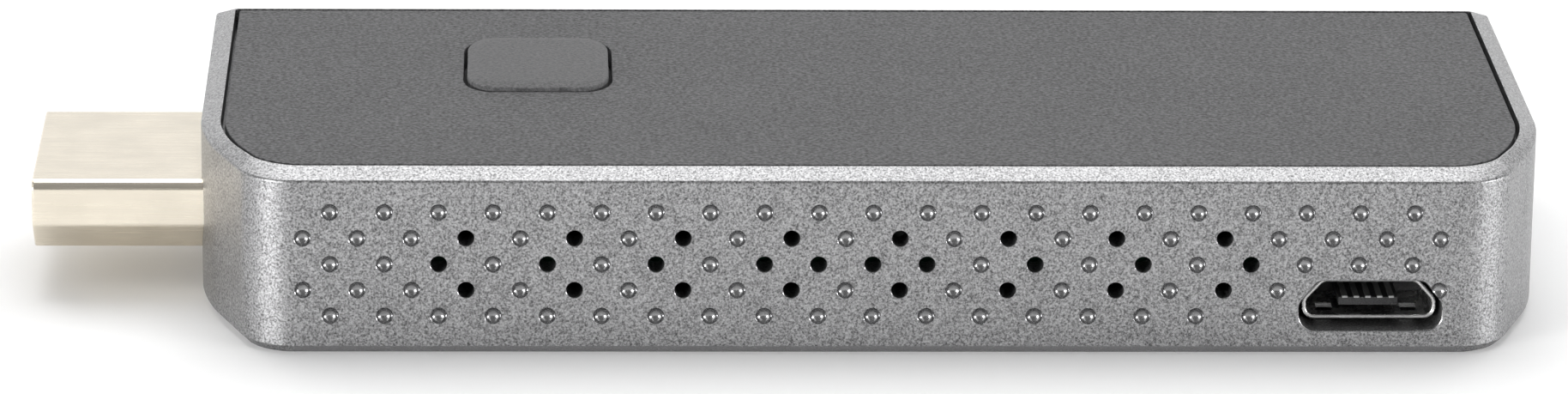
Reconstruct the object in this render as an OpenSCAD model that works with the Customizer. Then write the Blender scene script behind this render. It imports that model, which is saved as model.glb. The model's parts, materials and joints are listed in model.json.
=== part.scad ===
// Pocket wireless presentation dongle with a display plug, a pairing button and a charging port

/* [Body] */
// Length of the metal body without the plug
body_length = 75.6; // [75:0.2:78]
// Depth of the body from the perforated front to the back
body_depth = 33.2; // [33:0.2:36]
// Height of the body from the table to the cover
body_height = 10.6; // [10.6:0.1:11.4]
// Length of each front corner curve along the body
front_corner_length = 5.5; // [4.5:0.1:5.6]
// Depth of each front corner curve
front_corner_depth = 12.0; // [8:0.5:13]
// Radius of the two back corners
back_corner = 1.3; // [0.8:0.1:2]
// Width of the sloping bright rim seen from above
rim_width = 1.1; // [0.8:0.05:1.2]
// Height lost across the sloping rim
rim_drop = 0.55; // [0.3:0.05:0.8]
// Flat strip between the rim slope and the cover gap
rim_land = 0.08; // [0.05:0.01:0.12]
// Size of the bevel round the underside
foot_bevel = 0.5; // [0.3:0.1:0.8]
// Thickness of the body wall
wall = 1.9; // [1.8:0.05:2]
// Thickness of the body floor
floor_thickness = 1.2; // [1:0.1:1.4]

/* [Cover] */
// Thickness of the inset cover plate
cover_thickness = 1.2; // [1:0.1:1.3]
// Gap all round the cover plate
cover_gap = 0.2; // [0.1:0.02:0.26]
// Width of one snap hook
hook_width = 4; // [3:0.5:5]
// Thickness of the leg of a snap hook
hook_thickness = 1.0; // [0.8:0.1:1.1]
// Length of a snap hook below the cover
hook_length = 2.3; // [2.1:0.1:2.4]
// Distance the catch of a hook reaches into the wall
hook_catch = 0.45; // [0.3:0.05:0.6]
// Height of the catch
catch_height = 0.8; // [0.6:0.1:0.9]
// Clearance between a hook and the wall
hook_clearance = 0.12; // [0.08:0.02:0.16]
// Distance of the outer hooks from the ends of the body
hook_end_distance = 12.8; // [12:0.2:14]

/* [Front openings] */
// Distance between two dimples of one row
dimple_spacing = 3; // [2.9:0.05:3.05]
// Distance between two rows of dimples
row_spacing = 1.5; // [1.4:0.05:1.55]
// Height of the top row of dimples
top_row_height = 8.25; // [8:0.05:8.4]
// Sideways offset of the middle of the dimple field
dimple_offset = -0.28; // [-0.4:0.04:0.4]
// Diameter of a dimple or a vent hole on the face
dimple_diameter = 0.9; // [0.7:0.05:1]
// Depth of a dimple
dimple_depth = 0.3; // [0.2:0.05:0.35]

/* [Display plug] */
// Width of the plug shell
plug_width = 13.9; // [13.7:0.1:14]
// Height of the plug shell
plug_height = 4.45; // [4.4:0.05:4.5]
// Length of the plug outside the body
plug_reach = 9.5; // [9:0.5:12]
// Height of the underside of the plug above the table
plug_bottom = 2.53; // [2.45:0.02:2.55]
// Height of the slanted lower edge of the plug shell
plug_slant_height = 1.8; // [1.6:0.1:2]
// Width of the slanted lower edge of the plug shell
plug_slant_width = 1.85; // [1.6:0.05:2]
// Radius of the upper edges of the plug shell
plug_round = 0.6; // [0.5:0.05:0.7]
// Sheet thickness of the plug shell
plug_sheet = 0.4; // [0.3:0.05:0.45]
// Length of the plug shell behind the outer face of the body
plug_root = 4.3; // [4:0.1:4.4]
// Distance of the plug insulator behind the mouth
plug_insulator_recess = 0.5; // [0.3:0.1:0.8]
// Width of the slot in the plug insulator
slot_width = 11.6; // [11.4:0.1:11.8]
// Height of the slot in the plug insulator
slot_height = 2.2; // [2.1:0.05:2.3]
// Depth of the slot in the plug insulator
slot_depth = 7.6; // [7:0.1:8]
// Number of upper plug contacts
upper_contact_count = 10; // [6:2:10]
// Number of lower plug contacts
lower_contact_count = 9; // [5:2:9]
// Distance between two plug contacts
plug_contact_spacing = 1.0; // [0.95:0.01:1]
// Width of a plug contact
plug_contact_width = 0.45; // [0.35:0.05:0.5]
// Thickness of a plug contact
plug_contact_thickness = 0.2; // [0.15:0.01:0.2]
// Distance a plug contact stands into the slot
plug_contact_stand = 0.15; // [0.1:0.01:0.15]
// Length of the solder foot of a plug contact
plug_foot_length = 1.6; // [1.2:0.1:2]
// Clearance round a contact in its groove
groove_clearance = 0.03; // [0.02:0.01:0.05]
// Clearance of the plug shell in the body wall
plug_clearance = 0.15; // [0.1:0.01:0.2]
// Length of the two solder tabs of the plug shell
plug_tab_length = 2.2; // [1.8:0.1:2.4]
// Width of the two solder tabs of the plug shell
plug_tab_width = 1.5; // [1.2:0.1:1.6]

/* [Charging port] */
// Width of the port shell
port_width = 7.5; // [7.4:0.05:7.6]
// Height of the port shell
port_height = 2.4; // [2.35:0.05:2.45]
// Length of the port shell
port_length = 5.2; // [5:0.1:5.6]
// Sheet thickness of the port shell
port_sheet = 0.25; // [0.2:0.01:0.28]
// Distance of the middle of the port from the far end of the body
port_end_distance = 10.35; // [10.2:0.05:10.8]
// Height of the underside of the port shell above the table
port_bottom = 1.8; // [1.75:0.01:1.85]
// Distance of the port mouth behind the front face
port_recess = 0.9; // [0.7:0.05:1]
// Height of the slanted upper edges of the port shell
port_slant_height = 1.45; // [1.3:0.05:1.5]
// Width of the slanted upper edges of the port shell
port_slant_width = 1.15; // [1:0.05:1.2]
// Radius of the lower edges of the port shell
port_round = 0.7; // [0.5:0.05:0.8]
// Clearance of the port shell at each side of its opening
port_clearance = 0.25; // [0.2:0.01:0.28]
// Clearance under the port shell
port_clearance_below = 0.37; // [0.3:0.01:0.38]
// Clearance over the port shell
port_clearance_above = 0.1; // [0.08:0.01:0.12]
// Radius of the lower corners of the port opening
port_opening_round = 0.95; // [0.8:0.05:1]
// Width of the tongue in the port
tongue_width = 3.3; // [3.1:0.1:3.5]
// Thickness of the tongue in the port
tongue_thickness = 0.45; // [0.4:0.01:0.5]
// Height of the tongue above the underside of the port shell
tongue_height = 0.68; // [0.64:0.01:0.72]
// Distance of the tongue behind the port mouth
tongue_recess = 0.5; // [0.4:0.05:0.7]
// Thickness of the insulating block behind the tongue
port_block_length = 1.0; // [0.9:0.1:1.2]
// Clearance of the insulating block in the port shell
block_clearance = 0.02; // [0.01:0.01:0.04]
// Number of port contacts
port_contact_count = 5; // [3:1:5]
// Distance between two port contacts
port_contact_spacing = 0.65; // [0.6:0.01:0.66]
// Width of a port contact
port_contact_width = 0.3; // [0.25:0.01:0.34]
// Thickness of a port contact
port_contact_thickness = 0.12; // [0.1:0.01:0.14]
// Length of the solder foot of a port contact
port_foot_length = 0.9; // [0.7:0.1:1.2]
// Distance of each latch hole from the middle of the port
latch_offset = 2.35; // [2.3:0.01:2.4]
// Width of a latch hole
latch_width = 0.9; // [0.8:0.05:1]
// Length of a latch hole
latch_length = 1.3; // [1.2:0.05:1.4]
// Distance of a latch hole behind the port mouth
latch_recess = 0.8; // [0.7:0.05:0.9]

/* [Button] */
// Share of half the body length between the middle and the button
button_place_share = 0.497; // [0.494:0.001:0.5]
// Place of the middle of the button towards the back
button_y = 3.8; // [3.5:0.05:4]
// Length of the button opening
button_length = 8.5; // [8:0.1:8.8]
// Depth of the button opening
button_depth = 10.34; // [9.8:0.02:10.4]
// Corner length of the button opening
button_corner_length = 1.65; // [1.2:0.05:1.8]
// Corner depth of the button opening
button_corner_depth = 2.4; // [1.5:0.1:2.6]
// Gap round the button cap
button_gap = 0.17; // [0.12:0.01:0.2]
// Height of the cap edge above the cover
cap_edge_rise = 0.1; // [0.05:0.01:0.15]
// Height of the flat of the cap above the cover
cap_rise = 0.35; // [0.25:0.01:0.45]
// Width of the slope round the flat of the cap
cap_slope = 0.6; // [0.4:0.05:0.8]
// Distance the flange under the cover reaches past the opening
flange_reach = 0.8; // [0.6:0.05:1]
// Thickness of the flange under the cover
flange_thickness = 0.7; // [0.6:0.05:0.8]
// Play between the flange and the cover
flange_play = 0.05; // [0.03:0.01:0.08]
// Diameter of the stem under the cap
stem_diameter = 2.4; // [2.2:0.1:2.6]
// Travel of the button
button_travel = 0.25; // [0.2:0.01:0.28]

/* [Switch] */
// Width of the switch under the button
switch_width = 6.0; // [5.8:0.1:6.2]
// Height of the plastic base of the switch
switch_base_height = 1.2; // [1.15:0.05:1.25]
// Radius of the well in the switch base
well_radius = 2.1; // [2:0.05:2.2]
// Thickness of the switch base under the well
well_floor = 0.6; // [0.56:0.01:0.62]
// Radius of the snap dome
dome_radius = 1.9; // [1.8:0.01:1.95]
// Height left of the snap dome when it is pressed
dome_pressed_height = 0.09; // [0.08:0.01:0.1]
// Sheet thickness of the snap dome
dome_sheet = 0.08; // [0.06:0.01:0.09]
// Radius of the switch plunger
plunger_radius = 1.3; // [1.2:0.01:1.35]
// Radius of the collar of the plunger
plunger_collar_radius = 1.7; // [1.6:0.01:1.75]
// Thickness of the collar of the plunger
plunger_collar = 0.22; // [0.2:0.01:0.25]
// Share of the space between the switch frame and the cap flange taken by the plunger
plunger_rise_share = 0.286; // [0.26:0.002:0.3]
// Running clearance round the plunger
plunger_clearance = 0.08; // [0.05:0.01:0.1]
// Sheet thickness of the switch frame
frame_sheet = 0.15; // [0.1:0.01:0.18]
// Width of the side clips of the switch frame
clip_width = 2.0; // [1.6:0.1:2.4]
// Length of a switch terminal outside the base
terminal_length = 0.9; // [0.7:0.1:1.2]
// Width of a switch terminal
terminal_width = 0.7; // [0.6:0.05:0.8]
// Thickness of a switch terminal
terminal_thickness = 0.15; // [0.1:0.01:0.2]
// Distance between the two terminals of one side
terminal_spacing = 4.5; // [4.2:0.1:4.6]

/* [Circuit board] */
// Thickness of the main board
board_thickness = 1.0; // [0.9:0.05:1]
// Gap between the board edge and the body wall
board_gap = 0.5; // [0.4:0.05:0.6]
// Gap between the board edge and the plug insulator
board_plug_gap = 0.2; // [0.15:0.01:0.25]
// Diameter of a screw boss on the floor
boss_diameter = 4.4; // [4:0.1:4.6]
// Diameter of a board screw
screw_diameter = 1.6; // [1.5:0.05:1.65]
// Clearance round the screw in its boss
screw_clearance = 0.02; // [0.01:0.01:0.04]
// Diameter of a screw hole in the board
board_hole_diameter = 2.0; // [1.9:0.05:2.1]
// Diameter of a screw head
head_diameter = 3.0; // [2.8:0.1:3.2]
// Height of a screw head
head_height = 0.8; // [0.7:0.05:0.9]
// Length of a board screw under its head
screw_length = 3.3; // [3:0.1:3.4]
// Depth of the hole in a boss
boss_hole_depth = 2.5; // [2.45:0.05:2.6]
// Width of the cross recess in a screw head
cross_width = 0.4; // [0.3:0.05:0.5]
// Length of the cross recess in a screw head
cross_length = 1.8; // [1.6:0.1:2]
// Depth of the cross recess in a screw head
cross_depth = 0.4; // [0.3:0.05:0.5]
// Distance of the screws near the plug from the edge of the board
plug_screw_inset = 4.3; // [4.2:0.1:4.6]
// Distance of the far back screw from the far edge of the board
far_screw_inset = 5.4; // [5:0.1:5.6]
// Distance of the screw beside the port from the port shell
port_screw_gap = 3.4; // [3.2:0.1:3.8]
// Distance of the back screws from the back edge of the board
back_screw_inset = 3.2; // [3:0.1:3.4]
// Distance of the front plug side screw from the front edge of the board
plug_front_inset = 5.2; // [5:0.1:5.4]
// Distance of the port screw from the front edge of the board
port_screw_inset = 3.7; // [3.6:0.1:4]

/* [Cooling] */
// Side of the processor package
processor_side = 13; // [12:0.1:13]
// Height of the processor package
processor_height = 1.0; // [0.9:0.05:1]
// Share of the package height taken by its base laminate
laminate_share = 0.35; // [0.3:0.05:0.4]
// Step between the laminate and the moulded top
laminate_step = 0.4; // [0.3:0.05:0.5]
// Thickness of the thermal pad
pad_thickness = 0.5; // [0.4:0.05:0.5]
// Side of the thermal pad
pad_side = 12; // [11:0.1:12]
// Side of the heat sink
sink_side = 14; // [13.2:0.1:14]
// Share of the height of the heat sink taken by its base
sink_base_share = 0.33; // [0.3:0.01:0.36]
// Gap between the heat sink and the cover
sink_gap = 0.3; // [0.25:0.05:0.4]
// Number of heat sink fins
fin_count = 8; // [5:1:8]
// Thickness of a heat sink fin
fin_thickness = 0.7; // [0.5:0.05:0.8]

/* [Small parts] */
// Length of a memory chip
memory_length = 8; // [7.5:0.1:8]
// Depth of a memory chip
memory_depth = 7.5; // [7:0.1:7.5]
// Height of a memory chip
memory_height = 1.0; // [0.8:0.05:1.1]
// Distance of the memory chips from the back edge of the board
memory_edge_gap = 0.45; // [0.4:0.05:0.6]
// Distance between the memory chips
memory_spacing = 9; // [8.8:0.1:9]
// Length of the flash chip
flash_length = 4.9; // [4.8:0.1:5]
// Depth of the flash chip body
flash_depth = 3.9; // [3.8:0.1:4]
// Height of the flash chip
flash_height = 1.6; // [1.4:0.1:1.8]
// Number of leads on each side of the flash chip
lead_count = 4; // [3:1:4]
// Distance between two leads of the flash chip
lead_spacing = 1.27; // [1.2:0.01:1.27]
// Width of a lead
lead_width = 0.4; // [0.3:0.05:0.45]
// Thickness of a lead
lead_thickness = 0.2; // [0.15:0.01:0.22]
// Length of a lead from the chip body to its tip
lead_length = 1.05; // [1:0.05:1.1]
// Length of the flat foot of a lead
lead_foot = 0.6; // [0.5:0.05:0.7]
// Side of the signal buffer chip
buffer_side = 4; // [3.6:0.1:4]
// Height of the signal buffer chip
buffer_height = 0.8; // [0.7:0.05:0.9]
// Length of the radio board
radio_length = 15; // [14.5:0.1:15]
// Depth of the radio board
radio_depth = 12.4; // [12:0.1:12.4]
// Thickness of the radio board
radio_thickness = 0.8; // [0.6:0.05:0.8]
// Gap between the shield can and the antennas
can_antenna_gap = 1.3; // [1:0.1:1.6]
// Distance of the shield can from the long edges of the radio board
can_side_margin = 0.7; // [0.5:0.1:1]
// Height of the shield can
can_height = 1.6; // [1.4:0.1:1.8]
// Sheet thickness of the shield can
can_sheet = 0.2; // [0.15:0.01:0.25]
// Distance of the shield can from the plug side edge of the radio board
can_margin = 0.6; // [0.5:0.05:0.7]
// Length of a chip antenna
antenna_length = 1.6; // [1.4:0.1:1.7]
// Depth of a chip antenna
antenna_depth = 3.2; // [3:0.1:3.4]
// Height of a chip antenna
antenna_height = 1.1; // [0.9:0.1:1.2]
// Distance of the antennas from the free edge of the radio board
antenna_margin = 0.7; // [0.6:0.05:0.8]
// Distance between the two antennas
antenna_spacing = 8; // [7.5:0.1:8.4]
// Side of a power coil
coil_side = 4; // [3.6:0.1:4]
// Height of a power coil
coil_height = 2.0; // [1.6:0.1:2.2]
// Bevel of the upright edges of a power coil
coil_bevel = 0.6; // [0.4:0.05:0.7]
// Distance of the coils from the front edge of the board
front_row_inset = 1.4; // [1.3:0.1:1.5]
// Side of a regulator chip
regulator_side = 3; // [2.8:0.1:3.2]
// Height of a regulator chip
regulator_height = 0.8; // [0.7:0.05:0.9]
// Length of a ceramic capacitor without its end caps
capacitor_length = 1.4; // [1.2:0.05:1.5]
// Width of a ceramic capacitor
capacitor_width = 1.25; // [1:0.05:1.3]
// Height of a ceramic capacitor
capacitor_height = 0.9; // [0.7:0.05:1]
// Length of one end cap of a capacitor
end_cap_length = 0.35; // [0.25:0.01:0.4]
// Number of capacitors in the back row
capacitor_count = 7; // [3:1:7]
// Distance of the capacitor row from the back edge of the board
capacitor_inset = 2.4; // [2.2:0.1:2.6]
// Distance of the chips beside the port from the far edge of the board
port_row_inset = 1.7; // [1.6:0.1:2]
// Length of the crystal can
crystal_length = 3.2; // [3:0.1:3.4]
// Depth of the crystal can
crystal_depth = 2.5; // [2.3:0.1:2.6]
// Height of the crystal can
crystal_height = 0.8; // [0.7:0.05:0.9]

/* [Hidden] */
// Steps in a front corner curve
front_steps = 20;
// Steps in a small corner curve
small_steps = 6;
// Least corner size left after an inset
least_corner = 0.3;
// Distance a cutting solid reaches past the face it cuts
over = 1;
// Facets of a round surface
round_facets = 48;
// Facets of the shallow dome
dome_facets = 240;
// Vent holes of each row from the top, in half steps from the middle of the field
vent_steps = [
    [],
    [-15, -11, -7, -3, 1, 5, 9, 13],
    [-16, -12, -8, -4, -2, 0, 2, 6, 10, 14],
    [-15, -11, -7, -3, 1, 5, 9, 13],
    []
];

half_length = body_length / 2;
half_depth = body_depth / 2;
button_x = -half_length * button_place_share;
port_x = half_length - port_end_distance;
recess_inset = rim_width + rim_land;
cover_inset = recess_inset + cover_gap;
cover_underside = body_height - cover_thickness;
cavity_length = half_length - wall;
cavity_depth = half_depth - wall;
board_underside = port_bottom + port_height;
board_top = board_underside + board_thickness;
plug_mouth = -half_length - plug_reach;
plug_rear = -half_length + plug_root;
plug_total = plug_rear - plug_mouth;
plug_half = plug_width / 2;
plug_narrow = plug_half - plug_slant_width;
slot_middle = plug_bottom + plug_height / 2;
slot_top = slot_middle + slot_height / 2;
slot_bottom = slot_middle - slot_height / 2;
board_edge = plug_rear + board_plug_gap;
contact_front = plug_mouth + plug_insulator_recess + plug_contact_thickness;
contact_bend = board_edge + plug_contact_thickness;
upper_contact_low = slot_top - plug_contact_stand;
lower_contact_low = slot_bottom + plug_contact_stand - plug_contact_thickness;
port_half = port_width / 2;
port_narrow = port_half - port_slant_width;
port_mouth = -half_depth + port_recess;
port_back = port_mouth + port_length;
port_contact_front = port_mouth + tongue_recess;
tongue_top = port_bottom + tongue_height + tongue_thickness;
flange_top = cover_underside - flange_play;
flange_bottom = flange_top - flange_thickness;
switch_base_top = board_top + switch_base_height;
frame_top = switch_base_top + frame_sheet;
plunger_top = frame_top + (flange_bottom - frame_top) * plunger_rise_share;
collar_top = switch_base_top;
collar_bottom = collar_top - plunger_collar;
well_bottom = board_top + well_floor;
pad_bottom = board_top + processor_height;
sink_bottom = pad_bottom + pad_thickness;
sink_height = cover_underside - sink_gap - sink_bottom;
dome_height = button_travel + dome_pressed_height;

board_far = half_length - wall - board_gap;
board_half_depth = half_depth - wall - board_gap;
plug_screw_x = board_edge + plug_screw_inset;
back_screw_y = board_half_depth - back_screw_inset;
plug_front_y = plug_front_inset - board_half_depth;
far_screw_x = board_far - far_screw_inset;
port_screw_x = port_x - port_half - port_screw_gap;
port_screw_y = port_screw_inset - board_half_depth;
screw_places = [
    [plug_screw_x, plug_front_y],
    [plug_screw_x, back_screw_y],
    [far_screw_x, back_screw_y],
    [port_screw_x, port_screw_y]
];

// The chips stand in rows with equal gaps between the fixed pieces
button_left = button_x - switch_width / 2;
button_right = button_x + switch_width / 2;
chip_gap = (board_far - button_right - memory_length - sink_side - radio_length) / 4;
memory_x = button_right + chip_gap + memory_length / 2;
memory_back_y = board_half_depth - memory_edge_gap - memory_depth / 2;
sink_left = memory_x + memory_length / 2 + chip_gap;
processor_x = sink_left + sink_side / 2;
radio_x = sink_left + sink_side + chip_gap + radio_length / 2;
front_row_y = front_row_inset + coil_side / 2 - board_half_depth;
front_row_back = front_row_y + coil_side / 2;
capacitor_y = board_half_depth - capacitor_inset;
processor_y = (front_row_back + capacitor_y - capacitor_width / 2) / 2;
radio_y = (front_row_back + back_screw_y - head_diameter / 2) / 2;
front_row_end = port_screw_x - head_diameter / 2;
front_row_gap = (front_row_end - sink_left - crystal_length - regulator_side - 2 * coil_side) / 5;
crystal_x = sink_left + front_row_gap + crystal_length / 2;
regulator_x = crystal_x + crystal_length / 2 + front_row_gap + regulator_side / 2;
coil_x = regulator_x + regulator_side / 2 + front_row_gap + coil_side / 2;
coil_spacing = coil_side + front_row_gap;
port_row_start = port_screw_x + head_diameter / 2;
port_row_gap = (board_far - port_row_inset - port_row_start - coil_side - regulator_side) / 3;
port_coil_x = port_row_start + port_row_gap + coil_side / 2;
port_regulator_x = port_coil_x + coil_side / 2 + port_row_gap + regulator_side / 2;
capacitor_outer = capacitor_length + 2 * end_cap_length;
capacitor_row_end = far_screw_x - head_diameter / 2;
capacitor_gap = (capacitor_row_end - sink_left - capacitor_count * capacitor_outer) / (capacitor_count + 1);
capacitor_spacing = capacitor_outer + capacitor_gap;
capacitor_x = sink_left + capacitor_gap + capacitor_outer / 2;
can_length = radio_length - can_margin - can_antenna_gap - antenna_length - antenna_margin;
can_depth = radio_depth - 2 * can_side_margin;
flash_outer = flash_depth + 2 * lead_length;
plug_row_start = plug_front_y + head_diameter / 2;
plug_row_gap = (back_screw_y - head_diameter / 2 - plug_row_start - flash_outer - buffer_side) / 3;
flash_y = plug_row_start + plug_row_gap + flash_outer / 2;
buffer_y = flash_y + flash_outer / 2 + plug_row_gap + buffer_side / 2;
plug_row_x = (contact_bend + plug_foot_length + button_left) / 2;
hook_places = [hook_end_distance - half_length, 0, half_length - hook_end_distance];

// Piece to draw, or all

// Points of a quarter of an oval
function quarter(cx, cy, a, b, start, steps) =
    [for (i = [0:steps]) let (t = start + 90 * i / steps) [cx + a * cos(t), cy + b * sin(t)]];

// Outline of a rectangle with oval corners, front corners and back corners apart
function plan(length, depth, fa, fb, ba, bb, fsteps, bsteps, inset) =
    let (
        hx = length / 2 - inset,
        hy = depth / 2 - inset,
        a = max(fa - inset, least_corner),
        b = max(fb - inset, least_corner),
        c = max(ba - inset, least_corner),
        d = max(bb - inset, least_corner)
    )
    concat(
        quarter(hx - c, hy - d, c, d, 0, bsteps),
        quarter(c - hx, hy - d, c, d, 90, bsteps),
        quarter(a - hx, b - hy, a, b, 180, fsteps),
        quarter(hx - a, b - hy, a, b, 270, fsteps)
    );

function body_plan(inset) =
    plan(body_length, body_depth, front_corner_length, front_corner_depth, back_corner, back_corner,
        front_steps, small_steps, inset);

function button_plan(inset) =
    plan(button_length, button_depth, button_corner_length, button_corner_depth,
        button_corner_length, button_corner_depth, small_steps, small_steps, inset);

// Outline with rounded upper corners and slanted lower corners, its bottom at zero
function keyed(half, high, slant, narrow, round, inset) =
    let (
        run = norm([half - narrow, slant]),
        a = half - inset,
        top = high - inset,
        r = max(round - inset, least_corner),
        zs = (slant * (half - narrow - inset) + inset * run) / (half - narrow),
        yb = (slant * narrow + (half - narrow) * inset - inset * run) / slant
    )
    concat(
        [[yb, inset], [a, zs]],
        quarter(a - r, top - r, r, r, 0, small_steps),
        quarter(r - a, top - r, r, r, 90, small_steps),
        [[-a, zs], [-yb, inset]]
    );

function plug_outline(inset) =
    keyed(plug_half, plug_height, plug_slant_height, plug_narrow, plug_round, inset);

// The port outline is the same kind of shape turned upside down
function port_outline(inset) =
    [for (p = keyed(port_half, port_height, port_slant_height, port_narrow, port_round, inset))
        [p[0], port_height - p[1]]];

function port_opening_outline() =
    let (high = port_height + port_clearance_below + port_clearance_above)
    [for (p = keyed(port_half + port_clearance, high, port_slant_height + port_clearance_above,
        port_narrow + port_clearance, port_opening_round, 0))
        [p[0], high - p[1]]];

// Solid through a list of outlines, each with its height
module stack(rings) {
    n = len(rings[0][1]);
    polyhedron(
        points = [for (ring = rings, p = ring[1]) [p[0], p[1], ring[0]]],
        faces = concat(
            [[for (i = [0:n - 1]) i]],
            [[for (i = [0:n - 1]) len(rings) * n - 1 - i]],
            [for (k = [0:len(rings) - 2], i = [0:n - 1])
                if (rings[k][1] == rings[k + 1][1])
                    [k * n + i, (k + 1) * n + i, (k + 1) * n + (i + 1) % n, k * n + (i + 1) % n]],
            [for (k = [0:len(rings) - 2], i = [0:n - 1])
                if (rings[k][1] != rings[k + 1][1])
                    [k * n + i, (k + 1) * n + i, (k + 1) * n + (i + 1) % n]],
            [for (k = [0:len(rings) - 2], i = [0:n - 1])
                if (rings[k][1] != rings[k + 1][1])
                    [k * n + i, (k + 1) * n + (i + 1) % n, k * n + (i + 1) % n]]
        )
    );
}

// Outline drawn across the body and stretched along its length
module along_length(start, distance, points) {
    translate([start, 0, 0])
        rotate([90, 0, 90])
            linear_extrude(height = distance)
                polygon(points);
}

// Outline drawn along the body and stretched towards the front
module towards_front(back, distance, points) {
    translate([0, back, 0])
        rotate([90, 0, 0])
            linear_extrude(height = distance)
                polygon(points);
}

// Box standing on a height, centred on a place
module pad_box(x, y, z, size) {
    translate([x - size[0] / 2, y - size[1] / 2, z])
        cube(size);
}

// Pockets in the wall for the catches of the hooks
module hook_pocket() {
    pocket_width = hook_width + 2 * hook_clearance;
    pocket_depth = hook_catch + hook_clearance;
    translate([-pocket_width / 2, cavity_depth - over, cover_underside - hook_length - hook_clearance])
        cube([pocket_width, pocket_depth + over, catch_height + 2 * hook_clearance]);
}

// One snap hook at the back wall
module hook() {
    outer = cavity_depth - hook_clearance;
    foot = cover_underside - hook_length;
    inner = outer - hook_thickness;
    tip = outer + hook_catch;
    points = [
        [inner, cover_underside], [inner, foot], [outer - hook_catch, foot], [tip, foot + catch_height / 2],
        [tip, foot + catch_height], [outer, foot + catch_height], [outer, cover_underside]
    ];
    along_length(-hook_width / 2, hook_width, points);
}

// Places a back wall piece at every hook
module at_hooks() {
    for (x = hook_places) {
        translate([x, 0, 0])
            children();
        mirror([0, 1, 0])
            translate([x, 0, 0])
                children();
    }
    translate([cavity_length - cavity_depth, 0, 0])
        rotate([0, 0, -90])
            children();
}

// Half width of the port opening at a height
function port_reach(z) =
    let (
        top = port_bottom + port_height + port_clearance_above,
        slope = port_slant_width / (port_slant_height + port_clearance_above),
        high = max(0, z - top + port_slant_height + port_clearance_above)
    )
    z - dimple_diameter / 2 > top ? 0 : port_half + port_clearance - slope * high;

// Dimples and vent holes of the front face
module front_field() {
    ball = (dimple_diameter * dimple_diameter / 4 + dimple_depth * dimple_depth) / (2 * dimple_depth);
    flat = half_length - front_corner_length - dimple_diameter / 2 - abs(dimple_offset);
    half_row = floor(flat / dimple_spacing + 1 / 2);
    for (row = [0:len(vent_steps) - 1]) {
        last = row % 2 == 1 ? 2 * half_row - 1 : 2 * half_row - 2;
        z = top_row_height - row * row_spacing;
        for (step = [-last:2:last]) {
            x = dimple_offset + step * dimple_spacing / 2;
            vent = len(search(step, vent_steps[row])) > 0;
            clear = abs(x - port_x) > port_reach(z) + (port_reach(z) > 0 ? dimple_diameter / 2 : 0);
            if (vent && clear)
                translate([x, -half_depth - over, z])
                    rotate([-90, 0, 0])
                        cylinder(h = wall + 2 * over, d = dimple_diameter, $fn = round_facets);
            if (!vent && clear)
                translate([x, -half_depth - ball + dimple_depth, z])
                    sphere(r = ball, $fn = round_facets);
        }
    }
}

module housing() {
    color([0.62, 0.62, 0.63])
    difference() {
        union() {
            difference() {
                stack([
                    [0, body_plan(foot_bevel)],
                    [foot_bevel, body_plan(0)],
                    [body_height - rim_drop, body_plan(0)],
                    [body_height, body_plan(rim_width)]
                ]);
                translate([0, 0, cover_underside])
                    linear_extrude(height = cover_thickness + over)
                        polygon(body_plan(recess_inset));
                translate([0, 0, floor_thickness])
                    linear_extrude(height = body_height)
                        polygon(body_plan(wall));
                front_field();
                along_length(-half_length - over, wall + 2 * over,
                    [for (p = plug_outline(-plug_clearance)) [p[0], p[1] + plug_bottom]]);
                towards_front(-half_depth + wall + over, wall + 2 * over,
                    [for (p = port_opening_outline())
                        [p[0] + port_x, p[1] + port_bottom - port_clearance_below]]);
                at_hooks()
                    hook_pocket();
            }
            for (p = screw_places)
                translate([p[0], p[1], floor_thickness])
                    cylinder(h = board_underside - floor_thickness, d = boss_diameter, $fn = round_facets);
        }
        for (p = screw_places)
            translate([p[0], p[1], board_underside - boss_hole_depth])
                cylinder(h = boss_hole_depth + over, d = screw_diameter + 2 * screw_clearance,
                    $fn = round_facets);
    }
}

module top_cover() {
    color([0.2, 0.2, 0.21])
    union() {
        difference() {
            translate([0, 0, cover_underside])
                linear_extrude(height = cover_thickness)
                    polygon(body_plan(cover_inset));
            translate([button_x, button_y, cover_underside - over])
                linear_extrude(height = cover_thickness + 2 * over)
                    polygon(button_plan(0));
        }
        at_hooks()
            hook();
    }
}

module button_cap() {
    color([0.24, 0.24, 0.25])
    translate([button_x, button_y, 0])
        union() {
            stack([
                [flange_top, button_plan(button_gap)],
                [body_height + cap_edge_rise, button_plan(button_gap)],
                [body_height + cap_rise, button_plan(button_gap + cap_slope)]
            ]);
            translate([0, 0, flange_bottom])
                linear_extrude(height = flange_thickness)
                    polygon(button_plan(-flange_reach));
            translate([0, 0, plunger_top])
                cylinder(h = flange_top - plunger_top, d = stem_diameter, $fn = round_facets);
        }
}

module switch_base() {
    color([0.12, 0.12, 0.12])
    difference() {
        pad_box(button_x, button_y, board_top,
            [switch_width - 2 * frame_sheet, switch_width, switch_base_height]);
        translate([button_x, button_y, well_bottom])
            cylinder(h = switch_base_height, r = well_radius, $fn = round_facets);
    }
}

module switch_dome() {
    ball = (dome_radius * dome_radius + dome_height * dome_height) / (2 * dome_height);
    color([0.75, 0.74, 0.7])
    translate([button_x, button_y, well_bottom + dome_height - ball])
        rotate_extrude($fn = dome_facets)
            intersection() {
                difference() {
                    circle(r = ball, $fn = dome_facets);
                    circle(r = ball - dome_sheet, $fn = dome_facets);
                }
                translate([0, ball - dome_height])
                    square([dome_radius, dome_height + over]);
            }
}

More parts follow.
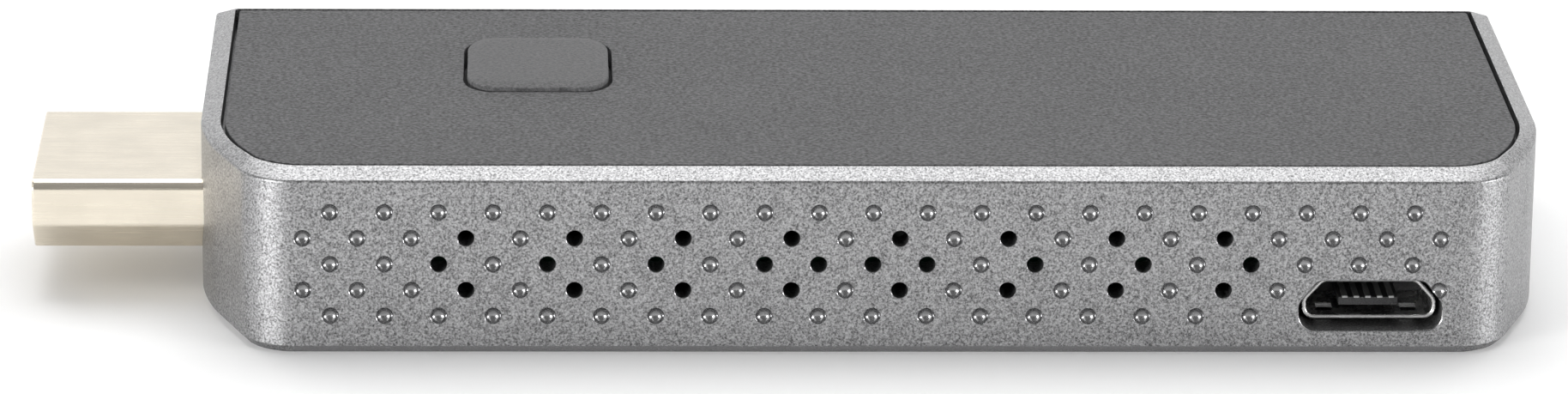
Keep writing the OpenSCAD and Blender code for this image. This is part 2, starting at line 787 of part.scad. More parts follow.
module switch_plunger() {
    color([0.1, 0.1, 0.1])
    translate([button_x, button_y, 0])
        union() {
            translate([0, 0, collar_bottom])
                cylinder(h = plunger_collar, r = plunger_collar_radius, $fn = round_facets);
            translate([0, 0, collar_bottom])
                cylinder(h = plunger_top - collar_bottom, r = plunger_radius, $fn = round_facets);
        }
}

module switch_frame() {
    color([0.72, 0.72, 0.72])
    difference() {
        union() {
            pad_box(button_x, button_y, switch_base_top, [switch_width, switch_width, frame_sheet]);
            for (side = [-1, 1])
                translate([button_x + side * (switch_width - frame_sheet) / 2, button_y, 0])
                    pad_box(0, 0, board_top + terminal_thickness,
                        [frame_sheet, clip_width, switch_base_height]);
        }
        translate([button_x, button_y, switch_base_top - over])
            cylinder(h = frame_sheet + 2 * over, r = plunger_radius + plunger_clearance,
                $fn = round_facets);
    }
}

module switch_terminals() {
    color([0.8, 0.78, 0.7])
    for (side = [-1, 1], end = [-1, 1])
        pad_box(button_x + end * terminal_spacing / 2,
            button_y + side * (switch_width + terminal_length) / 2, board_top,
            [terminal_width, terminal_length, terminal_thickness]);
}

module main_board() {
    color([0.05, 0.28, 0.14])
    difference() {
        translate([0, 0, board_underside])
            linear_extrude(height = board_thickness)
                polygon(body_plan(wall + board_gap));
        translate([-body_length + board_edge, -body_depth / 2, board_underside - over])
            cube([body_length, body_depth, board_thickness + 2 * over]);
        for (p = screw_places)
            translate([p[0], p[1], board_underside - over])
                cylinder(h = board_thickness + 2 * over, d = board_hole_diameter, $fn = round_facets);
    }
}

module board_screws() {
    color([0.75, 0.75, 0.77])
    for (p = screw_places)
        translate([p[0], p[1], board_top])
            difference() {
                union() {
                    cylinder(h = head_height, d = head_diameter, $fn = round_facets);
                    translate([0, 0, -screw_length])
                        cylinder(h = screw_length + head_height / 2, d = screw_diameter,
                            $fn = round_facets);
                }
                for (turn = [0, 90])
                    rotate([0, 0, turn])
                        translate([-cross_length / 2, -cross_width / 2, head_height - cross_depth])
                            cube([cross_length, cross_width, cross_depth + over]);
            }
}

module plug_shell() {
    color([0.93, 0.86, 0.68])
    union() {
        difference() {
            along_length(plug_mouth, plug_total,
                [for (p = plug_outline(0)) [p[0], p[1] + plug_bottom]]);
            along_length(plug_mouth - over, plug_total + 2 * over,
                [for (p = plug_outline(plug_sheet)) [p[0], p[1] + plug_bottom]]);
        }
        for (side = [-1, 1])
            pad_box(plug_rear - plug_sheet / 2 + plug_tab_length / 2,
                side * (plug_half - plug_tab_width / 2), board_top,
                [plug_tab_length + plug_sheet, plug_tab_width, plug_sheet]);
    }
}

// Upper contact seen from the side
function upper_contact_outline(grow) = [
    [contact_front - grow, upper_contact_low - grow],
    [contact_bend, upper_contact_low - grow],
    [contact_bend, board_top],
    [contact_bend + plug_foot_length, board_top],
    [contact_bend + plug_foot_length, board_top + plug_contact_thickness],
    [contact_bend + plug_contact_thickness, board_top + plug_contact_thickness],
    [contact_bend + plug_contact_thickness, upper_contact_low + plug_contact_thickness + grow],
    [contact_front - grow, upper_contact_low + plug_contact_thickness + grow]
];

// Lower contact seen from the side
function lower_contact_outline(grow) = [
    [contact_front - grow, lower_contact_low - grow],
    [contact_bend + plug_contact_thickness, lower_contact_low - grow],
    [contact_bend + plug_contact_thickness, board_underside - plug_contact_thickness],
    [contact_bend + plug_foot_length, board_underside - plug_contact_thickness],
    [contact_bend + plug_foot_length, board_underside],
    [contact_bend, board_underside],
    [contact_bend, lower_contact_low + plug_contact_thickness + grow],
    [contact_front - grow, lower_contact_low + plug_contact_thickness + grow]
];

// Row of plug contacts, or of their grooves when grown
module plug_contact_row(count, points, grow) {
    width = plug_contact_width + 2 * grow;
    for (i = [0:count - 1])
        towards_front((i - (count - 1) / 2) * plug_contact_spacing + width / 2, width, points);
}

module plug_insulator() {
    tab_bottom = board_top - groove_clearance;
    color([0.06, 0.06, 0.06])
    difference() {
        along_length(plug_mouth + plug_insulator_recess, plug_total - plug_insulator_recess,
            [for (p = plug_outline(plug_sheet + groove_clearance)) [p[0], p[1] + plug_bottom]]);
        translate([plug_mouth, -slot_width / 2, slot_bottom])
            cube([plug_insulator_recess + slot_depth, slot_width, slot_height]);
        plug_contact_row(upper_contact_count, upper_contact_outline(groove_clearance), groove_clearance);
        plug_contact_row(lower_contact_count, lower_contact_outline(groove_clearance), groove_clearance);
        for (side = [-1, 1])
            pad_box(plug_rear, side * (plug_half - plug_tab_width / 2), tab_bottom,
                [2 * plug_sheet + 2 * groove_clearance, plug_tab_width + 2 * groove_clearance,
                    plug_sheet + 2 * groove_clearance]);
    }
}

module plug_upper_contacts() {
    color([0.95, 0.8, 0.45])
    plug_contact_row(upper_contact_count, upper_contact_outline(0), 0);
}

module plug_lower_contacts() {
    color([0.95, 0.8, 0.45])
    plug_contact_row(lower_contact_count, lower_contact_outline(0), 0);
}

module port_shell() {
    color([0.78, 0.78, 0.78])
    difference() {
        towards_front(port_back, port_length,
            [for (p = port_outline(0)) [p[0] + port_x, p[1] + port_bottom]]);
        towards_front(port_back + over, port_length + 2 * over,
            [for (p = port_outline(port_sheet)) [p[0] + port_x, p[1] + port_bottom]]);
        for (side = [-1, 1])
            translate([port_x + side * latch_offset - latch_width / 2,
                port_mouth + latch_recess, port_bottom - over])
                cube([latch_width, latch_length, over + 2 * port_sheet]);
    }
}

// Contact of the port seen from the side
function port_contact_outline(grow) =
    let (low = tongue_top - port_contact_thickness / 2)
    [
        [port_contact_front - grow, low - grow],
        [port_back + port_contact_thickness, low - grow],
        [port_back + port_contact_thickness, board_underside - port_contact_thickness],
        [port_back + port_foot_length, board_underside - port_contact_thickness],
        [port_back + port_foot_length, board_underside],
        [port_back, board_underside],
        [port_back, low + port_contact_thickness + grow],
        [port_contact_front - grow, low + port_contact_thickness + grow]
    ];

// Row of contacts of the port
module port_contact_row(grow) {
    width = port_contact_width + 2 * grow;
    middle = (port_contact_count - 1) / 2;
    for (i = [0:port_contact_count - 1])
        translate([port_x + (i - middle) * port_contact_spacing - width / 2, 0, 0])
            rotate([90, 0, 90])
                linear_extrude(height = width)
                    polygon(port_contact_outline(grow));
}

module port_insulator() {
    color([0.08, 0.08, 0.08])
    difference() {
        union() {
            towards_front(port_back, port_block_length,
                [for (p = port_outline(port_sheet + block_clearance))
                    [p[0] + port_x, p[1] + port_bottom]]);
            translate([port_x - tongue_width / 2, port_mouth + tongue_recess,
                port_bottom + tongue_height])
                cube([tongue_width, port_length - tongue_recess - port_block_length / 2,
                    tongue_thickness]);
        }
        port_contact_row(groove_clearance);
    }
}

module port_contacts() {
    color([0.95, 0.82, 0.5])
    port_contact_row(0);
}

module processor() {
    laminate = processor_height * laminate_share;
    color([0.1, 0.12, 0.11])
    union() {
        pad_box(processor_x, processor_y, board_top, [processor_side, processor_side, laminate]);
        pad_box(processor_x, processor_y, board_top,
            [processor_side - 2 * laminate_step, processor_side - 2 * laminate_step, processor_height]);
    }
}

module thermal_pad() {
    color([0.55, 0.62, 0.7])
    pad_box(processor_x, processor_y, pad_bottom, [pad_side, pad_side, pad_thickness]);
}

module heat_sink() {
    fin_spacing = (sink_side - fin_thickness) / (fin_count - 1);
    color([0.7, 0.7, 0.72])
    union() {
        pad_box(processor_x, processor_y, sink_bottom,
            [sink_side, sink_side, sink_height * sink_base_share]);
        for (i = [0:fin_count - 1])
            pad_box(processor_x + (i - (fin_count - 1) / 2) * fin_spacing, processor_y, sink_bottom,
                [fin_thickness, sink_side, sink_height]);
    }
}

module memory_chips() {
    color([0.09, 0.09, 0.1])
    for (y = [memory_back_y - memory_spacing, memory_back_y])
        pad_box(memory_x, y, board_top, [memory_length, memory_depth, memory_height]);
}

module flash_chip() {
    color([0.09, 0.09, 0.1])
    pad_box(plug_row_x, flash_y, board_top + lead_thickness / 2,
        [flash_length, flash_depth, flash_height - lead_thickness / 2]);
}

module flash_leads() {
    edge = flash_depth / 2;
    middle = board_top + flash_height / 2;
    tip = edge + lead_length;
    color([0.8, 0.8, 0.8])
    for (turn = [0, 180], i = [0:lead_count - 1])
        translate([plug_row_x, flash_y, 0])
            rotate([0, 0, turn])
                translate([(i - (lead_count - 1) / 2) * lead_spacing - lead_width / 2, 0, 0])
                    rotate([90, 0, 90])
                        linear_extrude(height = lead_width)
                            polygon([
                                [edge, middle],
                                [tip - lead_foot - lead_thickness, middle],
                                [tip - lead_foot - lead_thickness, board_top],
                                [tip, board_top],
                                [tip, board_top + lead_thickness],
                                [tip - lead_foot, board_top + lead_thickness],
                                [tip - lead_foot, middle + lead_thickness],
                                [edge, middle + lead_thickness]
                            ]);
}

module signal_buffer() {
    color([0.1, 0.1, 0.1])
    pad_box(plug_row_x, buffer_y, board_top, [buffer_side, buffer_side, buffer_height]);
}

module radio_board() {
    color([0.06, 0.2, 0.3])
    pad_box(radio_x, radio_y, board_top, [radio_length, radio_depth, radio_thickness]);
}

module radio_can() {
    left = radio_x - radio_length / 2 + can_margin + can_length / 2;
    low = board_top + radio_thickness;
    color([0.76, 0.76, 0.76])
    difference() {
        pad_box(left, radio_y, low, [can_length, can_depth, can_height]);
        pad_box(left, radio_y, low - over,
            [can_length - 2 * can_sheet, can_depth - 2 * can_sheet, can_height - can_sheet + over]);
    }
}

module chip_antennas() {
    right = radio_x + radio_length / 2 - antenna_margin - antenna_length / 2;
    color([0.9, 0.88, 0.8])
    for (side = [-1, 1])
        pad_box(right, radio_y + side * antenna_spacing / 2, board_top + radio_thickness,
            [antenna_length, antenna_depth, antenna_height]);
}

// Square coil with bevelled upright edges
module coil(x, y) {
    h = coil_side / 2;
    c = h - coil_bevel;
    translate([x, y, board_top])
        linear_extrude(height = coil_height)
            polygon([[-h, -c], [-c, -h], [c, -h], [h, -c], [h, c], [c, h], [-c, h], [-h, c]]);
}

module power_coils() {
    color([0.25, 0.25, 0.26])
    union() {
        coil(coil_x, front_row_y);
        coil(coil_x + coil_spacing, front_row_y);
        coil(port_coil_x, front_row_y);
    }
}

module regulators() {
    color([0.1, 0.1, 0.1])
    union() {
        pad_box(regulator_x, front_row_y, board_top, [regulator_side, regulator_side, regulator_height]);
        pad_box(port_regulator_x, front_row_y, board_top,
            [regulator_side, regulator_side, regulator_height]);
    }
}

module ceramic_capacitors() {
    color([0.6, 0.45, 0.3])
    for (i = [0:capacitor_count - 1])
        pad_box(capacitor_x + i * capacitor_spacing, capacitor_y, board_top,
            [capacitor_length, capacitor_width, capacitor_height]);
}

module capacitor_ends() {
    color([0.8, 0.8, 0.8])
    for (i = [0:capacitor_count - 1], side = [-1, 1])
        pad_box(capacitor_x + i * capacitor_spacing + side * (capacitor_length + end_cap_length) / 2,
            capacitor_y, board_top, [end_cap_length, capacitor_width, capacitor_height]);
}

module crystal_can() {
    color([0.8, 0.8, 0.8])
    pad_box(crystal_x, front_row_y, board_top, [crystal_length, crystal_depth, crystal_height]);
}

housing();
top_cover();
button_cap();
switch_base();
switch_dome();
switch_plunger();
switch_frame();
switch_terminals();
main_board();
board_screws();
plug_shell();
plug_insulator();
plug_upper_contacts();
plug_lower_contacts();
port_shell();
port_insulator();
port_contacts();
processor();
thermal_pad();
heat_sink();
memory_chips();
flash_chip();
flash_leads();
signal_buffer();
radio_board();
radio_can();
chip_antennas();
power_coils();
regulators();
ceramic_capacitors();
capacitor_ends();
crystal_can();
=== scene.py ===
import json
import math
import bmesh
import bpy
from mathutils import Matrix, Vector

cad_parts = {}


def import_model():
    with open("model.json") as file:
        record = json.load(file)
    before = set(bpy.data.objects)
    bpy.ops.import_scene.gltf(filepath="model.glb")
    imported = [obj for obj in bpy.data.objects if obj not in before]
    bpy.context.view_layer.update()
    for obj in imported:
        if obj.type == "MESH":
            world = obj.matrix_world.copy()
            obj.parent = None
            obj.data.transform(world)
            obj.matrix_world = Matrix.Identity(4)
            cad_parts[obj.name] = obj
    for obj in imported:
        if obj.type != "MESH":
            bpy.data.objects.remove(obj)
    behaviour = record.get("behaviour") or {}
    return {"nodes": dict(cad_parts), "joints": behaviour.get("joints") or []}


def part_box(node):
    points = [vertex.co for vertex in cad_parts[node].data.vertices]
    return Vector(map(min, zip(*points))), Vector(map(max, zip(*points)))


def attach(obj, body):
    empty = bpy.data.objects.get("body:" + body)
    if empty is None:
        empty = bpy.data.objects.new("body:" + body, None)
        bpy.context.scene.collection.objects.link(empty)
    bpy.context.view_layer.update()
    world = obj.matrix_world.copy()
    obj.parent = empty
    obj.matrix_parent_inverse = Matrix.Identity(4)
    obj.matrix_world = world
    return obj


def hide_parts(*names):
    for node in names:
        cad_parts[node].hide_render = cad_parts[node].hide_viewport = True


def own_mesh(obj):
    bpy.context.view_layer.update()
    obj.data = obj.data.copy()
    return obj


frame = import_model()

bl_info = {
    "name": "Wireless presentation dongle",
    "version": (1, 0, 0),
    "blender": (4, 5, 0),
    "location": "View3D > Sidebar > Dongle",
    "description": "Dresses a flat wireless presentation dongle and sets it on a pale studio floor",
    "category": "Add Mesh",
}

HOUSING_LOW, HOUSING_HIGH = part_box("housing")
PLUG_LOW, PLUG_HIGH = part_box("plug_shell")
PORT_LOW, PORT_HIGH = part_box("port_shell")
CAP_LOW, CAP_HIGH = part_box("button_cap")
DOME_LOW, DOME_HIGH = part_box("switch_dome")
MM = 0.001


def linear(code):
    """Linear colour of an sRGB hex value."""
    shares = [int(code[i : i + 2], 16) / 255 for i in (1, 3, 5)]
    return [c / 12.92 if c <= 0.04045 else ((c + 0.055) / 1.055) ** 2.4 for c in shares] + [1.0]


def length(name, description, millimetres):
    """A length property of the dongle, given in millimetres."""
    return bpy.props.FloatProperty(
        name=name, description=description, default=millimetres * MM, min=0, unit="LENGTH", precision=5
    )


def colour(name, description, code):
    """A colour property, given as an sRGB hex value."""
    return bpy.props.FloatVectorProperty(
        name=name, description=description, default=linear(code), size=4, min=0, max=1, subtype="COLOR"
    )


def strength(name, description, value):
    """A light strength, where 1 is white."""
    return bpy.props.FloatProperty(name=name, description=description, default=value, min=0)


class DongleCaseSizes(bpy.types.PropertyGroup):
    """Sizes of the case and of the rim round the cover"""

    corner_length: length("Front corner length", "Length of each front corner curve along the body", 5.5)
    corner_depth: length("Front corner depth", "Depth of each front corner curve", 11.6)
    corner_cut_length: length("Front corner cut length", "Length of the slant that cuts each front corner", 3.3)
    corner_cut_depth: length("Front corner cut depth", "Depth of the slant that cuts each front corner", 8.6)
    cover_corner_length: length("Rim corner length", "Length of the front corner curves inside the rim", 4.85)
    cover_corner_depth: length("Rim corner depth", "Depth of the front corner curves inside the rim", 8.6)
    cover_cut_length: length("Rim corner cut length", "Length of the slant that cuts the corners inside the rim", 2.84)
    cover_cut_depth: length("Rim corner cut depth", "Depth of the slant that cuts the corners inside the rim", 5.8)
    cavity_corner_length: length("Cavity corner length", "Length of the front corner curves of the cavity", 3.9)
    cavity_corner_depth: length("Cavity corner depth", "Depth of the front corner curves of the cavity", 10.4)
    back_corner: length("Back corner", "Radius of the two back corners", 0.45)
    rim_width: length("Rim width", "Width of the sloping rim seen from above", 1.1)
    rim_drop: length("Rim drop", "Height lost across the sloping rim", 0.55)
    rim_land: length("Rim land", "Flat strip between the slope and the cover gap", 0.08)
    edge_round: length("Edge rounding", "Rounding of the case edges left by the blasting", 0.12)
    foot_bevel: length("Foot bevel", "Bevel round the underside", 0.5)
    wall: length("Wall", "Thickness of the case wall", 1.9)
    floor: length("Floor", "Thickness of the case floor", 1.2)
    cover_thickness: length("Cover thickness", "Thickness of the inset cover", 1.2)
    cover_gap: length("Cover gap", "Gap round the inset cover", 0.25)
    boss: length("Boss diameter", "Diameter of a screw boss", 4.4)
    boss_hole: length("Boss hole", "Diameter of the hole in a screw boss", 1.64)
    boss_hole_depth: length("Boss hole depth", "Depth of the hole in a screw boss", 2.5)


class DongleFrontSizes(bpy.types.PropertyGroup):
    """Sizes of the dimples, the vent holes and the openings"""

    step: length("Dimple spacing", "Distance between two dimples of one row", 3.0)
    row: length("Row spacing", "Distance between two rows of dimples", 1.5)
    top_row: length("Top row", "Height of the top row of dimples", 8.25)
    middle: bpy.props.FloatProperty(
        name="Field middle", description="Sideways place of the dimple field", default=-0.28 * MM, unit="LENGTH"
    )
    diameter: length("Dimple diameter", "Diameter of a dimple or vent hole", 0.9)
    depth: length("Dimple depth", "Depth of a dimple", 0.3)
    lip: length("Hole lip", "Rounding of the edge of a dimple or vent hole", 0.05)
    port_gap: length("Port gap", "Gap at each side of the port", 0.25)
    port_gap_below: length("Gap under the port", "Gap under the port shell", 0.37)
    port_gap_above: length("Gap over the port", "Gap over the port shell", 0.1)
    port_corner: length("Port opening corner", "Radius of the lower corners of the port opening", 0.95)
    plug_gap: length("Plug gap", "Gap round the plug shell in the wall", 0.15)
    port_overlap: length("Port overlap", "How far a dimple may run into the port opening", 0.1)
    opening_lip: length("Opening lip", "Rounding of the edges of the port and plug openings", 0.08)


class DongleConnectorSizes(bpy.types.PropertyGroup):
    """Sizes of the shells of the plug and the port"""

    plug_sheet: length("Plug sheet", "Sheet thickness of the plug shell", 0.4)
    plug_round: length("Plug upper edge", "Radius of the upper edges of the plug shell", 0.6)
    plug_bend: length("Plug lower bends", "Radius of the bends of the lower plug edges", 0.35)
    plug_slant_height: length("Plug slant height", "Height of the slanted lower edge", 1.8)
    plug_slant_width: length("Plug slant width", "Width of the slanted lower edge", 1.85)
    plug_mouth: length("Plug mouth rounding", "Rounding of the mouth of the plug", 0.13)
    tab_length: length("Plug tab length", "Length of the solder tabs of the plug shell", 2.2)
    tab_width: length("Plug tab width", "Width of the solder tabs of the plug shell", 1.5)
    port_sheet: length("Port sheet", "Sheet thickness of the port shell", 0.25)
    port_round: length("Port lower edge", "Radius of the lower edges of the port shell", 0.7)
    port_slant_height: length("Port slant height", "Height of the slanted upper edges of the port", 1.2)
    port_slant_width: length("Port slant width", "Width of the slanted upper edges of the port", 1.08)
    port_bend: length("Port upper bends", "Radius of the bends of the upper port edges", 0.6)
    port_mouth: length("Port mouth rounding", "Rounding of the mouth of the port", 0.12)
    latch_offset: length("Latch hole offset", "Distance of a latch hole from the middle of the port", 2.35)
    latch_width: length("Latch hole width", "Width of a latch hole", 0.9)
    latch_length: length("Latch hole length", "Length of a latch hole", 1.3)
    latch_recess: length("Latch hole recess", "Distance of a latch hole behind the port mouth", 0.8)


class DongleButtonSizes(bpy.types.PropertyGroup):
    """Sizes of the button, its snap dome and the hooks of the cover"""

    opening_length: length("Opening length", "Length of the button opening", 8.5)
    opening_depth: length("Opening depth", "Depth of the button opening", 10.34)
    corner_length: length("Corner length", "Length of the corner curve of the opening", 1.65)
    corner_depth: length("Corner depth", "Depth of the corner curve of the opening", 2.4)
    gap: length("Button gap", "Gap round the button cap", 0.2)
    edge_rise: length("Edge rise", "Height of the cap edge above the cover", 0.2)
    slope: length("Slope", "Width of the slope round the flat of the cap", 0.75)
    soften: length("Soft edge", "Rounding of the cap and cover edges", 0.08)
    flange: length("Flange", "Reach of the flange under the cover", 0.8)
    flange_thickness: length("Flange thickness", "Thickness of the flange under the cover", 0.7)
    flange_play: length("Flange play", "Play between the flange and the cover", 0.05)
    stem: length("Stem diameter", "Diameter of the stem under the cap", 2.4)
    dome_sheet: length("Dome sheet", "Sheet thickness of the snap dome", 0.08)
    hook_width: length("Hook width", "Width of a snap hook of the cover", 4.0)
    hook_thickness: length("Hook thickness", "Thickness of the leg of a snap hook", 1.0)
    hook_length: length("Hook length", "Length of a snap hook below the cover", 2.3)
    hook_catch: length("Hook catch", "Reach of the catch of a hook into the wall", 0.45)
    hook_catch_height: length("Catch height", "Height of the catch of a hook", 0.8)
    hook_gap: length("Hook gap", "Gap between a hook and the wall", 0.12)
    hook_end: length("Hook end distance", "Distance of the outer hooks from the ends of the body", 12.8)


class DongleColours(bpy.types.PropertyGroup):
    """Colours of the parts and the floor"""

    metal: colour("Case metal", "Blasted and grey anodised aluminium", "#9C9C9D")
    cover: colour("Cover", "Moulded cover plastic", "#3B3B3C")
    button: colour("Button", "Moulded button plastic", "#5B5B5C")
    gold: colour("Plug plating", "Pale gold plating of the plug", "#F6EDDC")
    contact: colour("Contact plating", "Gold plating of the contacts", "#E3CB9C")
    steel: colour("Steel", "Nickel plated steel", "#DBDBDA")
    tin: colour("Tin", "Tin plated leads and cans", "#A6A7A6")
    polymer: colour("Connector polymer", "Moulded black connector blocks", "#232324")
    laminate: colour("Board", "Solder resist of the main board", "#12402A")
    radio: colour("Radio board", "Solder resist of the radio board", "#142A48")
    epoxy: colour("Chip epoxy", "Moulded chip packages", "#1E1F21")
    silicone: colour("Thermal pad", "Filled silicone of the thermal pad", "#8A9CAE")
    ferrite: colour("Ferrite", "Pressed ferrite of the coils", "#4A4A4D")
    ceramic: colour("Ceramic", "Fired antenna ceramic", "#D9D3C2")
    capacitor: colour("Capacitor ceramic", "Fired brown capacitor ceramic", "#8C6A48")
    floor: colour("Floor", "Matt white studio floor", "#F1F1F1")


class DongleStage(bpy.types.PropertyGroup):
    """Strengths of the lights"""

    overhead: strength("Overhead softbox", "Strength of the softbox overhead", 2.9)
    key: strength("Key softboxes", "Strength of the two high softboxes behind the object", 2.3)
    side: strength("Side softboxes", "Strength of the tall softboxes at both front sides", 1.7)
    low: strength("Low strips", "Strength of the short bright strips low at both front sides", 50.0)
    glow: strength("Floor glow", "Strength of the lit table under the floor", 0.03)
    backdrop: strength("Backdrop", "Strength of the pale backdrop", 1.0)
    room: strength("Room", "Strength of the room behind the camera", 0.3)


# Materials


def add(tree, kind, links=(), **settings):
    """Adds a shader node with its settings. Links give an input's name or number and a value or an output."""
    made = tree.nodes.new("ShaderNode" + kind)
    for name, value in settings.items():
        setattr(made, name, value)
    for name, value in dict(links).items():
        if isinstance(value, bpy.types.NodeSocket):
            tree.links.new(value, made.inputs[name])
        else:
            made.inputs[name].default_value = value
    return made


def emptied(data):
    """The node tree of a material or world, with nothing in it."""
    data.use_nodes = True
    data.node_tree.nodes.clear()
    return data.node_tree


def blank(name):
    """A new material, its empty node tree and its object coordinates."""
    material = bpy.data.materials.new(name)
    tree = emptied(material)
    return material, tree, add(tree, "TexCoord").outputs["Object"]


def closed(material, inputs):
    """The material with its shader, which gets the given inputs."""
    shader = add(material.node_tree, "BsdfPrincipled", inputs)
    add(material.node_tree, "OutputMaterial", {"Surface": shader.outputs["BSDF"]})
    return material


def tint(tree, factor, base, dark, light):
    """Colour from a darker to a lighter shade of a base, by a factor."""
    ends = [[min(1.0, c * share) for c in list(base)[:3]] + [1.0] for share in (dark, light)]
    return add(tree, "Mix", {"Factor": factor, 6: ends[0], 7: ends[1]}, data_type="RGBA").outputs[2]


def texture(tree, pattern, rough, strength, relief, low=0.3, high=0.7):
    """Roughness and bump that follow a pattern between its low and high values. The relief is in millimetres."""
    spread = add(tree, "MapRange", {
        "Value": pattern, "From Min": low, "From Max": high, "To Min": rough[0], "To Max": rough[1],
    })
    bump = add(tree, "Bump", {"Strength": strength, "Distance": relief * MM, "Height": pattern})
    return {"Roughness": spread.outputs[0], "Normal": bump.outputs["Normal"]}


def blasted_metal(name, base, grain=0.12, rough=(0.36, 0.48), relief=0.008, contrast=0.75):
    """Bead blasting leaves shallow round pits, which glitter as fine pale and dark grains."""
    # real pits are about 0.05 mm across, and the grain is drawn coarser so that they show
    material, tree, place = blank(name)
    pits = add(tree, "TexNoise", {"Vector": place, "Scale": 1 / (grain * MM), "Detail": 3.0, "Roughness": 0.75})
    cloud = add(tree, "TexNoise", {"Vector": place, "Scale": 1 / (4 * MM), "Detail": 3.0})
    low, high = 0.33, 0.67
    flecks = add(tree, "MapRange", {"Value": pits.outputs["Fac"], "From Min": low, "From Max": high})
    blend = add(tree, "Math", {0: cloud.outputs["Fac"], 1: 0.12, 2: flecks.outputs[0]}, operation="MULTIPLY_ADD")
    level = add(tree, "Math", {0: blend.outputs[0], 1: 0.06}, operation="SUBTRACT")
    return closed(material, {
        "Base Color": tint(tree, level.outputs[0], base, 1 - contrast, 1 + contrast),
        "Metallic": 1.0,
        **texture(tree, pits.outputs["Fac"], rough, 1.0, relief, low, high),
    })


def moulded(name, base, grain, rough, relief=0.1, ior=1.53, contrast=0.6, points=1.0, gloss=0.5):
    """An eroded mould leaves a fine matt texture, seen as a soft sheen with tiny lighter points."""
    material, tree, place = blank(name)
    skin = add(tree, "TexNoise", {"Vector": place, "Scale": 1 / (grain * MM), "Detail": 3.0, "Roughness": 0.65})
    cloud = add(tree, "TexNoise", {"Vector": place, "Scale": 1 / (9 * MM), "Detail": 2.0})
    soft = add(tree, "Math", {0: cloud.outputs["Fac"], 1: 0.05, 2: 0.475}, operation="MULTIPLY_ADD")
    blend = add(tree, "Math", {0: skin.outputs["Fac"], 1: soft.outputs[0]}, operation="MULTIPLY")
    lift = add(tree, "MapRange", {"Value": blend.outputs[0], "From Min": 0.16, "From Max": 0.34})
    return closed(material, {
        "Base Color": tint(tree, lift.outputs[0], base, 1 - contrast, 1 + points * contrast),
        "Specular IOR Level": gloss,
        "IOR": ior,
        **texture(tree, skin.outputs["Fac"], rough, 0.8, relief),
    })


def drawn_metal(name, base, streak=(5.0, 0.07, 0.07), rough=(0.16, 0.3)):
    """Sheet drawn through a die and plated keeps faint lengthwise lines, which stretch its highlights."""
    material, tree, place = blank(name)
    stretch = add(tree, "Mapping", {"Vector": place, "Scale": [1 / (s * MM) for s in streak]})
    lines = add(tree, "TexNoise", {"Vector": stretch.outputs[0], "Scale": 1.0, "Detail": 3.0, "Roughness": 0.55})
    cloud = add(tree, "TexNoise", {"Vector": place, "Scale": 1 / (2.5 * MM), "Detail": 2.0})
    blend = add(tree, "Math", {0: lines.outputs["Fac"], 1: cloud.outputs["Fac"]}, operation="MULTIPLY")
    lift = add(tree, "MapRange", {"Value": blend.outputs[0], "From Min": 0.1, "From Max": 0.42})
    return closed(material, {
        "Base Color": tint(tree, lift.outputs[0], base, 0.9, 1.05),
        "Metallic": 1.0,
        **texture(tree, lines.outputs["Fac"], rough, 0.6, 0.0012),
    })


def circuit_laminate(name, base):
    """Glass laminate under glossy solder resist: buried copper tracks show as slightly lighter lines."""
    material, tree, place = blank(name)
    tracks = add(tree, "TexBrick", {
        "Vector": place, "Scale": 1 / (4 * MM), "Mortar Size": 0.035, "Brick Width": 0.9, "Row Height": 0.16,
        "Color1": (0, 0, 0, 1), "Color2": (0.25, 0.25, 0.25, 1), "Mortar": (1, 1, 1, 1),
    }, offset=0.37)
    weave = add(tree, "TexNoise", {"Vector": place, "Scale": 1 / (0.4 * MM), "Detail": 2.0})
    blend = add(tree, "Math", {0: weave.outputs["Fac"], 1: 0.3, 2: tracks.outputs["Color"]}, operation="MULTIPLY_ADD")
    bump = add(tree, "Bump", {"Strength": 0.7, "Distance": 0.03 * MM, "Height": blend.outputs[0]})
    return closed(material, {
        "Base Color": tint(tree, blend.outputs[0], base, 0.8, 1.9),
        "Roughness": 0.28,
        "IOR": 1.55,
        "Normal": bump.outputs["Normal"],
    })


